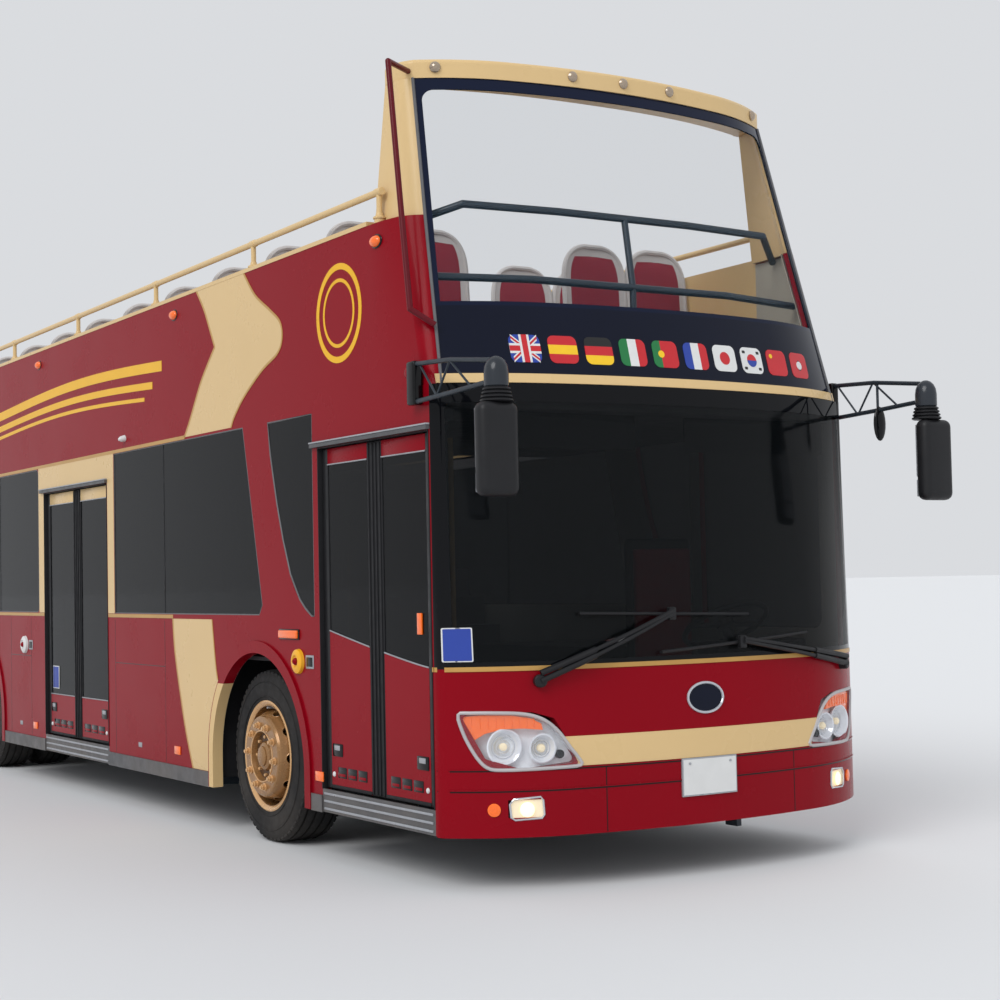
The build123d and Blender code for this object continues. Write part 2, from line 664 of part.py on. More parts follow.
for name, s in (("knuckle_right", -1), ("knuckle_left", 1)):
    with BuildPart() as knuckle:
        rod((s * kingpin_x, front_axle_y, 350), (s * kingpin_x, front_axle_y, 590), 48)
        rod((s * kingpin_x, front_axle_y, axle_z), (s * 1115, front_axle_y, axle_z), 45)
        rod((s * 865, front_axle_y, axle_z), (s * 985, front_axle_y, axle_z), 150)
        slab((s * kingpin_x - 22, s * kingpin_x + 22), (front_axle_y, front_axle_y + 190), (390, 420))
        rod((s * kingpin_x, front_axle_y, 340), (s * kingpin_x, front_axle_y, 600), 20.08, Mode.SUBTRACT)
    knuckle.part.label = name
    export_step(knuckle.part, "parts/" + name + ".step")

# Mirror on each side: root block, two tubes, neck, cap and head.
with BuildPart() as mirrors:
    for s in (1, -1):
        with Locations((s * 1290, datum - 345.5, 1970)):
            Box(205, 95, 420)
    fillet(mirrors.edges().filter_by(Axis.Z), 30)
    for s in (1, -1):
        slab(sorted((s * 1250, s * 1305)), (datum + 345, datum + 425), (2215, 2425))
        rod((s * 1283, datum + 385, 2408), (s * 1270, datum - 300, 2345), 12)
        rod((s * 1283, datum + 385, 2232), (s * 1270, datum - 285, 2262), 12)
        for y0, z0, y1, z1 in ((330, 2402, 180, 2245), (180, 2245, 60, 2378), (60, 2378, -120, 2255)):
            rod((s * 1279, datum + y0, z0), (s * 1275, datum + y1, z1), 6)
        with Locations((s * 1270, datum - 320, 2170)):
            Cone(bottom_radius=72, top_radius=58, height=64, align=(Align.CENTER, Align.CENTER, Align.MIN))
        rod((s * 1270, datum - 320, 2232), (s * 1270, datum - 320, 2311), 54)
        with Locations((s * 1270, datum - 320, 2311)):
            Sphere(54)
mirrors.part.label = "mirrors"
export_step(mirrors.part, "parts/mirrors.step")

with BuildPart() as branch_guard:
    pipe([(-1080, datum + 728, 3887), (-1290, datum + 560, 3870), (-1290, datum + 470, 3215),
          (-1290, datum + 390, 2665), (-1190, datum + 335, 2590)], 14)
    add(windscreen_hood.part, mode=Mode.SUBTRACT)
    add(upper_corners.part, mode=Mode.SUBTRACT)
    add(upper_windscreen.part, mode=Mode.SUBTRACT)
    add(front_apron.part, mode=Mode.SUBTRACT)
branch_guard.part.label = "branch_guard"
export_step(branch_guard.part, "parts/branch_guard.step")

# Lamp bowls in the front panel's openings and lamp stacks on the rear.
with BuildPart() as lamp_units:
    loft([nose_face(bumper_top_z, nose_bumper, -104, front_t, -5),
          nose_face(panel_top_z, nose_waist, -80, front_t, -5)], ruled=True)
    extrude(nose_face(500, nose_bumper, -104, front_t, -5), amount=bumper_top_z - 500)
    with BuildPart(mode=Mode.INTERSECT):
        for s in (1, -1):
            extrude(lamp_outline(datum + 420, s), amount=600)
    for s in (1, -1):
        slab(sorted((s * 857, s * 1007)), (datum + 70, datum + 100), (334, 414))
        for z in (600, 720, 840):
            rod((s * 1020, rear_y, z), (s * 1020, rear_y + 25, z), 52)
lamp_units.part.label = "lamp_units"
export_step(lamp_units.part, "parts/lamp_units.step")

# Aluminium strip along the skirt, thresholds and rain strips at the doors.
with BuildPart() as skirt_trim:
    trim_x = half_width
    spans = (
        (1465, 2262 - lip_r), (2262 + lip_r, 4635), (5970, 7630 - lip_r), (7630 + lip_r, 10700))
    for y0, y1 in spans:
        slab((-trim_x - 8, -trim_x), (datum + y0, datum + y1), (246, 333))
    for y0, y1 in ((300, 2262 - lip_r), (2262 + lip_r, 7630 - lip_r), (7630 + lip_r, 10700)):
        slab((trim_x, trim_x + 8), (datum + y0, datum + y1), (246, 333))
    for y0, y1 in (front_door, mid_door):
        slab((-half_width, -inside), (y0, y1), (skirt_z, low_floor_z))
        slab((-half_width, -half_width + 12), (y0, y1), (low_floor_z, 366))
        slab((-half_width - 20, -half_width), (y0 - 10, y1 + 60), (door_head_z + 3, door_head_z + 22))
skirt_trim.part.label = "skirt_trim"
export_step(skirt_trim.part, "parts/skirt_trim.step")

# Doors. Each leaf hangs by its middle on arms that swing about a post behind
# the jamb, while a roller near its leading edge runs along the wall line.
leaf_mid_x = -half_width + leaf_inset + leaf_t / 2
link_x = leaf_mid_x + link_in
leaves = []
for door_name, (y0, y1) in (("front", front_door), ("mid", mid_door)):
    leaf_len = (y1 - y0) / 2 - jamb_gap - centre_gap / 2
    arm_len = (leaf_len + post_behind - lead_over) / 2
    leaves.append((door_name + "_a", y0 + jamb_gap - post_behind, 1, leaf_len, arm_len))
    leaves.append((door_name + "_b", y1 - jamb_gap + post_behind, -1, leaf_len, arm_len))

for name, post_y, d, leaf_len, arm_len in leaves:
    with BuildPart() as arm:
        rod((link_x, post_y, 342), (link_x, post_y, 2130), post_r)
        for z0, z1 in ((344, 362), (2103, 2117)):
            slab((link_x - 10, link_x + 10), sorted((post_y, post_y + d * arm_len)), (z0, z1))
            rod((link_x, post_y + d * arm_len, z0), (link_x, post_y + d * arm_len, z1), 14)
            rod((link_x, post_y + d * arm_len, z0 - 5), (link_x, post_y + d * arm_len, z1 + 5),
                pin_fit, Mode.SUBTRACT)
        rod((link_x, post_y, 340), (link_x, post_y, 385), pin_fit, Mode.SUBTRACT)
        rod((link_x, post_y, 2090), (link_x, post_y, 2135), pin_fit, Mode.SUBTRACT)
    arm.part.label = "door_arm_" + name
    export_step(arm.part, "parts/door_arm_" + name + ".step")

for name, post_y, d, leaf_len, arm_len in leaves:
    trail_y = post_y + d * post_behind
    lead_y = trail_y + d * leaf_len
    pin_y = post_y + d * arm_len
    with BuildPart() as leaf:
        slab((leaf_mid_x - leaf_t / 2, leaf_mid_x + leaf_t / 2), sorted((trail_y, lead_y)),
             (leaf_bottom_z, leaf_top_z))
        low_glass = 1040 if "front" in name else 660
        for x0, x1 in ((-50, 3 - leaf_t / 2), (11 - leaf_t / 2, 50)):
            slab((leaf_mid_x + x0, leaf_mid_x + x1), sorted((trail_y + d * 62, lead_y - d * 72)),
                 (low_glass, 2010), Mode.SUBTRACT)
        for z0, z1, p0, p1 in ((366, 430, 346, 366), (2040, 2099, 2099, 2118)):
            slab((leaf_mid_x + leaf_t / 2, link_x + 12), (pin_y - 15, pin_y + 15), (z0 + 10, z1))
            rod((link_x, pin_y, min(p0, z0 + 10)), (link_x, pin_y, max(p1, z0 + 20)), pin_r)
        slab((leaf_mid_x + leaf_t / 2, link_x + 8), sorted((lead_y - d * 40, lead_y - d * 10)),
             (2050, 2085))
        rod((link_x, lead_y - d * lead_over, 2050), (link_x, lead_y - d * lead_over, 2134), 5)
    leaf.part.label = "door_leaf_" + name
    export_step(leaf.part, "parts/door_leaf_" + name + ".step")

# Header beam over each door with the roller track and the post pins.
with BuildPart() as door_gear:
    for y0, y1 in (front_door, mid_door):
        slab((-inside, link_x + 45), (y0 - 26, y1 + 60), (2145, deck_z - deck_t))
        slab((link_x - 20, link_x + 20), (y0 + 90, y1 - 90), (2124, 2145))
        slab((link_x - 7, link_x + 7), (y0 + 50, y1 - 50), (2120, 2140), Mode.SUBTRACT)
    for name, post_y, d, leaf_len, arm_len in leaves:
        rod((link_x, post_y, 2092), (link_x, post_y, 2150), pin_r)
        rod((link_x, post_y, 2136), (link_x, post_y, 2150), 20)
        rod((link_x, post_y, low_floor_z), (link_x, post_y, 380), pin_r)
        rod((link_x, post_y, low_floor_z), (link_x, post_y, 341), 20)
door_gear.part.label = "door_gear"
export_step(door_gear.part, "parts/door_gear.step")
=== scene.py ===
# Looks of an open top double decker bus. Metres. Front towards -Y, +X is its left side.
import math

import bmesh
import bpy
from mathutils import Matrix, Vector


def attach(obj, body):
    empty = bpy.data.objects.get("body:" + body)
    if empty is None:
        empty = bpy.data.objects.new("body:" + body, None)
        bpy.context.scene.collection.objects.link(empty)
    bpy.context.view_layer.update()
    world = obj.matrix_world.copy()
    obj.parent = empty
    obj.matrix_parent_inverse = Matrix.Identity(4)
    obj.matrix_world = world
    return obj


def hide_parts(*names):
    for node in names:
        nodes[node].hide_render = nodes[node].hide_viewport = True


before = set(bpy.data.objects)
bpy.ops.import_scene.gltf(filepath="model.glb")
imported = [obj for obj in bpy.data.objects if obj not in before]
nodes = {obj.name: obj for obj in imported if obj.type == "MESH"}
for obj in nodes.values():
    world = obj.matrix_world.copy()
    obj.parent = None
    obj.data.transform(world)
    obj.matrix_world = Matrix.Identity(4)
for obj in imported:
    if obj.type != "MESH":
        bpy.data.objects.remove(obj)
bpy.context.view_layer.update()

# Measures shared with the solids
DATUM = -5.246  # y of the zero line near the nose, from which lengths run to the rear
HALF = 1.25  # half the body's width
INNER = 1.2006  # half the width between the wall linings
REAR_IN = 5.56  # y of the rear wall's inner face


def Y(v):
    return DATUM + v


def span(a, b):
    """Range of y between two lengths from the zero line."""
    return Y(a), Y(b)


def around(middle, half):
    return middle - half, middle + half


ARCH, ARCH_Z, ARCH_R = 2.25, 0.43, 0.673  # front wheel arch: middle and the lip's radius
FRONT_AXLE, REAR_AXLE = Y(2.262), Y(7.63)
WHEEL_Z = 0.47
SILL, HEAD = 1.24, 2.285  # bottom and top of the side windows
GOLD_LOW, GOLD_HIGH = 1.226, 2.298  # gold lines under and over them
DECK = 2.265  # top of the upper floor
DOORS = {"front": (0.311, 1.465), "mid": (4.635, 5.97)}  # openings, from the zero line


# Materials


def srgb(r, g, b):
    """Linear colour of display values from 0 to 255."""
    def lin(c):
        c /= 255.0
        return c / 12.92 if c <= 0.04045 else ((c + 0.055) / 1.055) ** 2.4

    return (lin(r), lin(g), lin(b), 1.0)


class Mat:
    """Principled material. Its methods add procedural detail on Object coordinates, and can be chained."""

    def __init__(self, name, color, rough=0.4, metal=0.0, coat=0.0, spec=0.5, alpha=1.0):
        m = bpy.data.materials.new(name)
        m.use_nodes = True
        self.m = m
        self.nt = m.node_tree
        self.bsdf = self.nt.nodes["Principled BSDF"]
        self.color = color
        self.bsdf.inputs["Base Color"].default_value = color
        self.bsdf.inputs["Roughness"].default_value = rough
        self.bsdf.inputs["Metallic"].default_value = metal
        self.bsdf.inputs["Coat Weight"].default_value = coat
        self.bsdf.inputs["Coat Roughness"].default_value = 0.05
        self.bsdf.inputs["Specular IOR Level"].default_value = spec
        self.bsdf.inputs["Alpha"].default_value = alpha
        tc = self.nt.nodes.new("ShaderNodeTexCoord")
        self.obj = tc.outputs["Object"]
        sep = self.nt.nodes.new("ShaderNodeSeparateXYZ")
        self.nt.links.new(self.obj, sep.inputs[0])
        self.axis = {"x": sep.outputs[0], "y": sep.outputs[1], "z": sep.outputs[2]}
        self.last = None

    def link(self, a, b):
        self.nt.links.new(a, b)

    def math(self, op, a, b=0.0):
        n = self.nt.nodes.new("ShaderNodeMath")
        n.operation = op
        for i, v in enumerate((a, b)):
            if isinstance(v, (int, float)):
                n.inputs[i].default_value = v
            else:
                self.link(v, n.inputs[i])
        return n.outputs[0]

    def both(self, *masks):
        """1 where every mask is 1."""
        out = masks[0]
        for mask in masks[1:]:
            out = self.math("MULTIPLY", out, mask)
        return out

    def noise(self, scale, detail=4.0):
        n = self.nt.nodes.new("ShaderNodeTexNoise")
        n.inputs["Scale"].default_value = scale
        n.inputs["Detail"].default_value = detail
        n.inputs["Roughness"].default_value = 0.55
        self.link(self.obj, n.inputs["Vector"])
        return n.outputs["Fac"]

    def ramp(self, v, lo, hi, a=0.0, b=1.0):
        n = self.nt.nodes.new("ShaderNodeMapRange")
        n.clamp = True
        n.inputs["From Min"].default_value = lo
        n.inputs["From Max"].default_value = hi
        n.inputs["To Min"].default_value = a
        n.inputs["To Max"].default_value = b
        self.link(v, n.inputs["Value"])
        return n.outputs["Result"]

    def glow(self, color, strength):
        self.bsdf.inputs["Emission Color"].default_value = color
        self.bsdf.inputs["Emission Strength"].default_value = strength
        return self

    def over(self, fac, color):
        """Lays a colour over the colour so far, where fac is 1."""
        mix = self.nt.nodes.new("ShaderNodeMix")
        mix.data_type = "RGBA"
        self.link(fac, mix.inputs[0])
        if self.last is None:
            mix.inputs[6].default_value = self.color
        else:
            self.link(self.last, mix.inputs[6])
        mix.inputs[7].default_value = color
        self.last = mix.outputs[2]
        self.link(self.last, self.bsdf.inputs["Base Color"])
        return self

    def vary(self, scale, amount, detail=4.0):
        """Darker clouds in the colour."""
        n = self.ramp(self.noise(scale, detail), 0.35, 0.7, 0.0, amount)
        dark = tuple(c * 0.55 for c in self.color[:3]) + (1.0,)
        return self.over(n, dark)

    def dust(self, top, amount, color=srgb(120, 105, 88)):
        """Road dirt below the height top."""
        low = self.ramp(self.axis["z"], top, 0.15)
        n = self.ramp(self.noise(2.3, 6.0), 0.35, 0.65)
        return self.over(self.both(low, n, amount), color)

    def rough_vary(self, scale, lo, hi):
        self.link(self.ramp(self.noise(scale, 5.0), 0.3, 0.7, lo, hi), self.bsdf.inputs["Roughness"])
        return self

    def bump(self, scale, strength, distance=0.001, src=None):
        b = self.nt.nodes.new("ShaderNodeBump")
        b.inputs["Strength"].default_value = strength
        b.inputs["Distance"].default_value = distance
        self.link(src or self.noise(scale, 3.0), b.inputs["Height"])
        self.link(b.outputs[0], self.bsdf.inputs["Normal"])
        return self


RED = srgb(134, 5, 22)
CREAM = srgb(212, 181, 130)
GOLD = srgb(184, 142, 78)
YELLOW = srgb(232, 176, 20)
DARK = srgb(86, 86, 88)

red = Mat("red_paint", RED, 0.28, coat=0.02, spec=0.07)
red.vary(0.8, 0.08, 2.0).dust(0.7, 0.12, srgb(70, 30, 28)).rough_vary(3.0, 0.2, 0.3).bump(30, 0.004)

# Body walls: red outside, cream lining on the upper deck and grey below
wall = Mat("wall_paint", RED, 0.28, coat=0.02, spec=0.07)
wall.vary(0.8, 0.08, 2.0).dust(0.7, 0.12, srgb(70, 30, 28))
width, height = wall.math("ABSOLUTE", wall.axis["x"]), wall.axis["z"]
inner = wall.both(wall.math("LESS_THAN", width, INNER), wall.math("LESS_THAN", wall.axis["y"], REAR_IN))
upper = wall.math("GREATER_THAN", height, 2.24)
wall.over(wall.both(inner, upper), CREAM)
wall.over(wall.both(inner, wall.math("SUBTRACT", 1.0, upper)), srgb(150, 148, 142))
# the livery wave runs onto the rear lower part of the front arch lip
lip_y = wall.math("SUBTRACT", wall.axis["y"], Y(ARCH))
lip_z = wall.math("MAXIMUM", wall.math("SUBTRACT", height, ARCH_Z), 0.0)
lip_r = wall.math("SQRT", wall.math("ADD", wall.math("MULTIPLY", lip_y, lip_y), wall.math("MULTIPLY", lip_z, lip_z)))
wall.over(wall.both(wall.math("LESS_THAN", lip_r, ARCH_R + 0.003), wall.math("GREATER_THAN", lip_y, 0.0),
                    wall.math("LESS_THAN", height, 0.85), wall.math("GREATER_THAN", width, INNER)), CREAM)
wall.rough_vary(3.0, 0.2, 0.3).bump(30, 0.004)

cream = Mat("cream_paint", CREAM, 0.28, coat=0.05, spec=0.2)
cream.vary(1.2, 0.06, 2.0).dust(0.7, 0.12).rough_vary(3.0, 0.24, 0.34).bump(30, 0.004)
gold = Mat("gold_line", GOLD, 0.3, coat=0.05, spec=0.2)
gold.vary(6.0, 0.2).bump(30, 0.004)
navy = Mat("navy_panel", srgb(12, 17, 34), 0.1, coat=0.05, spec=0.15)
navy.vary(2.0, 0.3).rough_vary(4.0, 0.06, 0.16).bump(60, 0.01)
yellow_band = Mat("yellow_band", YELLOW, 0.3, coat=0.05, spec=0.2)
yellow_band.vary(5.0, 0.08).bump(30, 0.004)
bronze = Mat("bronze_dome", srgb(170, 152, 132), 0.16, metal=0.6, coat=0.5)
bronze.vary(20.0, 0.2).rough_vary(30.0, 0.15, 0.3)
cap_grey = Mat("mirror_cap", srgb(42, 46, 52), 0.22, coat=0.1, spec=0.3)
cap_grey.vary(9.0, 0.15).rough_vary(12.0, 0.16, 0.3)
silver = Mat("lamp_silver", srgb(232, 234, 238), 0.2, metal=0.05)
silver.vary(24.0, 0.25).rough_vary(30.0, 0.12, 0.3)
trim = Mat("dark_trim", DARK, 0.42, metal=0.25)
trim.vary(9.0, 0.35).dust(0.6, 0.35).rough_vary(14.0, 0.32, 0.55).bump(260, 0.05)
alu = Mat("bare_aluminium", srgb(166, 168, 172), 0.34, metal=0.4)
alu.vary(12.0, 0.25).rough_vary(20.0, 0.25, 0.5).bump(300, 0.05)
rubber = Mat("black_rubber", srgb(34, 34, 36), 0.6, spec=0.2)
rubber.vary(14.0, 0.3).rough_vary(18.0, 0.5, 0.72).bump(500, 0.08)
plastic = Mat("black_plastic", srgb(30, 30, 32), 0.38, spec=0.25)
plastic.vary(8.0, 0.2).rough_vary(12.0, 0.3, 0.5).bump(900, 0.12, 0.0006)
gloss_black = Mat("gloss_black", srgb(12, 12, 14), 0.12, coat=0.1, spec=0.2)
gloss_black.vary(5.0, 0.2).rough_vary(8.0, 0.08, 0.2)
steel = Mat("dark_steel", srgb(44, 52, 60), 0.36, metal=0.25)
steel.vary(10.0, 0.3).rough_vary(14.0, 0.28, 0.5).bump(300, 0.06)
iron = Mat("cast_iron", srgb(58, 54, 52), 0.6, metal=0.5)
iron.vary(14.0, 0.45).rough_vary(16.0, 0.5, 0.8).bump(160, 0.3, 0.002)
chrome = Mat("chrome", srgb(192, 194, 200), 0.1, metal=0.5, coat=0.5)
chrome.vary(10.0, 0.08).rough_vary(20.0, 0.05, 0.14)
reflector = Mat("lamp_reflector", srgb(226, 228, 234), 0.12, metal=0.25, coat=0.5)
reflector.vary(10.0, 0.08).rough_vary(20.0, 0.06, 0.16)
rim = Mat("rim_gold", srgb(158, 116, 70), 0.28, metal=0.4, coat=0.3)
rim.vary(5.0, 0.2, 2.0).dust(1.0, 0.15, srgb(92, 70, 50)).rough_vary(12.0, 0.2, 0.34).bump(90, 0.01)
# lighter copy of the rim's gold: painted highlight on the front rim's edge, nuts, washers, bolts and hub ring
gold_painted_highlight = Mat("gold_painted_highlight", srgb(214, 168, 116), 0.2, metal=0.35, coat=0.3)
gold_painted_highlight.vary(30.0, 0.15).rough_vary(30.0, 0.18, 0.3)
# darker copy of the rim's gold: painted shade in the front hub's recess
hub_painted_shade = Mat("hub_painted_shade", srgb(84, 58, 36), 0.4, metal=0.3)
hub_painted_shade.vary(20.0, 0.3).rough_vary(20.0, 0.3, 0.5)
tyre = Mat("tyre_rubber", srgb(30, 30, 31), 0.7, spec=0.2)
tyre.vary(9.0, 0.35).dust(1.3, 0.3, srgb(88, 82, 76)).rough_vary(20.0, 0.6, 0.85).bump(220, 0.2, 0.0015)
shell = Mat("seat_shell", srgb(192, 187, 184), 0.36)
shell.vary(7.0, 0.14).rough_vary(16.0, 0.28, 0.48).bump(700, 0.06)
pad = Mat("seat_fabric", srgb(140, 18, 38), 0.8)
pad.vary(30.0, 0.25)
pad.bsdf.inputs["Sheen Weight"].default_value = 0.1
weave = pad.nt.nodes.new("ShaderNodeTexWave")
weave.inputs["Scale"].default_value = 90.0
weave.inputs["Distortion"].default_value = 1.0
pad.link(pad.obj, weave.inputs["Vector"])
pad.bump(0, 0.35, 0.0015, src=weave.outputs["Fac"])
floor_m = Mat("deck_floor", srgb(88, 88, 90), 0.6)
speck = floor_m.ramp(floor_m.noise(420.0, 2.0), 0.6, 0.68, 0.0, 0.5)
floor_m.over(speck, srgb(150, 150, 152)).vary(3.0, 0.2).rough_vary(10.0, 0.5, 0.75).bump(380, 0.15)
amber = Mat("amber_lens", srgb(240, 104, 18), 0.12, coat=0.5)
amber.vary(120.0, 0.3).bump(260, 0.25, 0.001).glow(srgb(255, 110, 20), 0.12)
red_lens = Mat("red_lens", srgb(176, 10, 14), 0.12, coat=0.5)
red_lens.vary(120.0, 0.3).bump(260, 0.25, 0.001)
yellow = Mat("yellow_plastic", srgb(236, 170, 20), 0.3)
yellow.vary(20.0, 0.15).bump(500, 0.05)
white = Mat("white_panel", srgb(214, 214, 212), 0.35)
white.vary(12.0, 0.12).bump(400, 0.04)
blue = Mat("blue_panel", srgb(28, 58, 150), 0.35)
blue.vary(12.0, 0.12).bump(400, 0.04)
lamp_on = Mat("lamp_glow", srgb(214, 200, 170), 0.2)
lamp_on.vary(60.0, 0.05).glow(srgb(255, 236, 200), 0.3)
lamp_hot = Mat("lamp_hot", srgb(236, 214, 180), 0.2)
lamp_hot.vary(60.0, 0.05).glow(srgb(255, 226, 176), 1.2)


def glass(name, color, alpha, rough=0.03):
    g = Mat(name, color, rough, spec=0.08, alpha=alpha, coat=0.02)
    g.vary(2.0, 0.1).rough_vary(5.0, rough, rough + 0.05)
    g.m.surface_render_method = "BLENDED"
    return g


# near-black, nearly opaque side and door glass: painted shade of the dim inside
shade_glass = glass("tinted_glass", srgb(14, 15, 17), 0.9)
door_glass = glass("door_glass", srgb(12, 13, 15), 0.86)
clear = glass("lamp_lens", srgb(170, 175, 180), 0.05)


def edged_glass(name, color, border, alpha, z_low, z_top, half, slope, radius):
    """Glass with an opaque dark printed border. The clear part is half - slope * (z - z_low) wide to each side."""
    g = Mat(name, color, 0.03, spec=0.16, coat=0.02)
    z = g.axis["z"]
    edge = g.math("SUBTRACT", half, g.math("MULTIPLY", g.math("SUBTRACT", z, z_low), slope))
    dx = g.math("SUBTRACT", g.math("ABSOLUTE", g.axis["x"]), edge)
    dz = g.math("SUBTRACT", z, z_top)
    dx = g.math("MAXIMUM", g.math("ADD", dx, radius), 0.0)
    dz = g.math("MAXIMUM", g.math("ADD", dz, radius), 0.0)
    far = g.math("SQRT", g.math("ADD", g.math("MULTIPLY", dx, dx), g.math("MULTIPLY", dz, dz)))
    mask = g.math("MAXIMUM", g.math("GREATER_THAN", far, radius), g.math("LESS_THAN", z, z_low))
    g.vary(2.0, 0.1)
    g.over(mask, border)
    g.link(g.math("ADD", g.math("MULTIPLY", mask, 1.0 - alpha), alpha), g.bsdf.inputs["Alpha"])
    g.rough_vary(5.0, 0.02, 0.07)
    g.m.surface_render_method = "BLENDED"
    return g


up_glass = edged_glass("upper_glass", srgb(60, 92, 112), srgb(14, 22, 44), 0.045, 2.71, 3.79, 1.1355, 0.0755, 0.06)
# the lower windscreen's half-opaque near-black is painted shade of the dim cab, its darker border print
low_glass = edged_glass("lower_glass", srgb(12, 15, 17), srgb(10, 11, 14), 0.5, 1.035, 2.225, 1.195, 0.0, 0.03)


def give(mat, *names):
    for n in names:
        ob = nodes[n]
        ob.data.materials.clear()
        ob.data.materials.append(mat.m)


give(wall, "side_wall_right", "side_wall_left", "rear_wall")
give(red, "front_panel", "upper_corners")
maroon = Mat("maroon_tube", srgb(92, 8, 22), 0.3, coat=0.05, spec=0.2)
maroon.vary(4.0, 0.15).rough_vary(9.0, 0.25, 0.4)
give(maroon, "branch_guard")
give(navy, "front_apron")
give(cream, "windscreen_hood", "deck_rails", "deck_capping", "rail_posts", "grab_poles")
give(up_glass, "upper_windscreen")
give(low_glass, "lower_windscreen")
give(shade_glass, "side_glass")
give(floor_m, "upper_deck", "lower_deck", "staircase")
# the black rubber on the wheel boxes is painted shade in the wheel wells
give(rubber, "wheel_boxes")
give(steel, "guard_rail", "door_gear", "chassis_frame", "cross_members")
give(shell, "seats_upper", "seats_lower")
give(plastic, "dashboard", "steering_wheel", "mirrors")
give(iron, "engine_block", "front_axle", "rear_axle", "knuckle_right", "knuckle_left")
give(trim, "skirt_trim")
give(chrome, "lamp_units")
give(rim, "rim_front_right", "rim_front_left", "rims_rear_right", "rims_rear_left")
give(tyre, "tyre_front_right", "tyre_front_left", "tyres_rear_right", "tyres_rear_left")
LEAVES = ("front_a", "front_b", "mid_a", "mid_b")
for n in LEAVES:
    give(red, "door_leaf_" + n)
    give(steel, "door_arm_" + n)

# Mesh tools


def face_out(bm):
    """Turns the faces outwards. A closed shell whose faces look at its middle is inside out."""
    bm.normal_update()
    bmesh.ops.recalc_face_normals(bm, faces=bm.faces)
    bm.normal_update()
    middle = sum((v.co for v in bm.verts), Vector()) / len(bm.verts)
    flow = sum((f.calc_center_median() - middle).dot(f.normal) * f.calc_area() for f in bm.faces)
    if flow < 0 and all(e.is_manifold for e in bm.edges):
        bmesh.ops.reverse_faces(bm, faces=bm.faces)


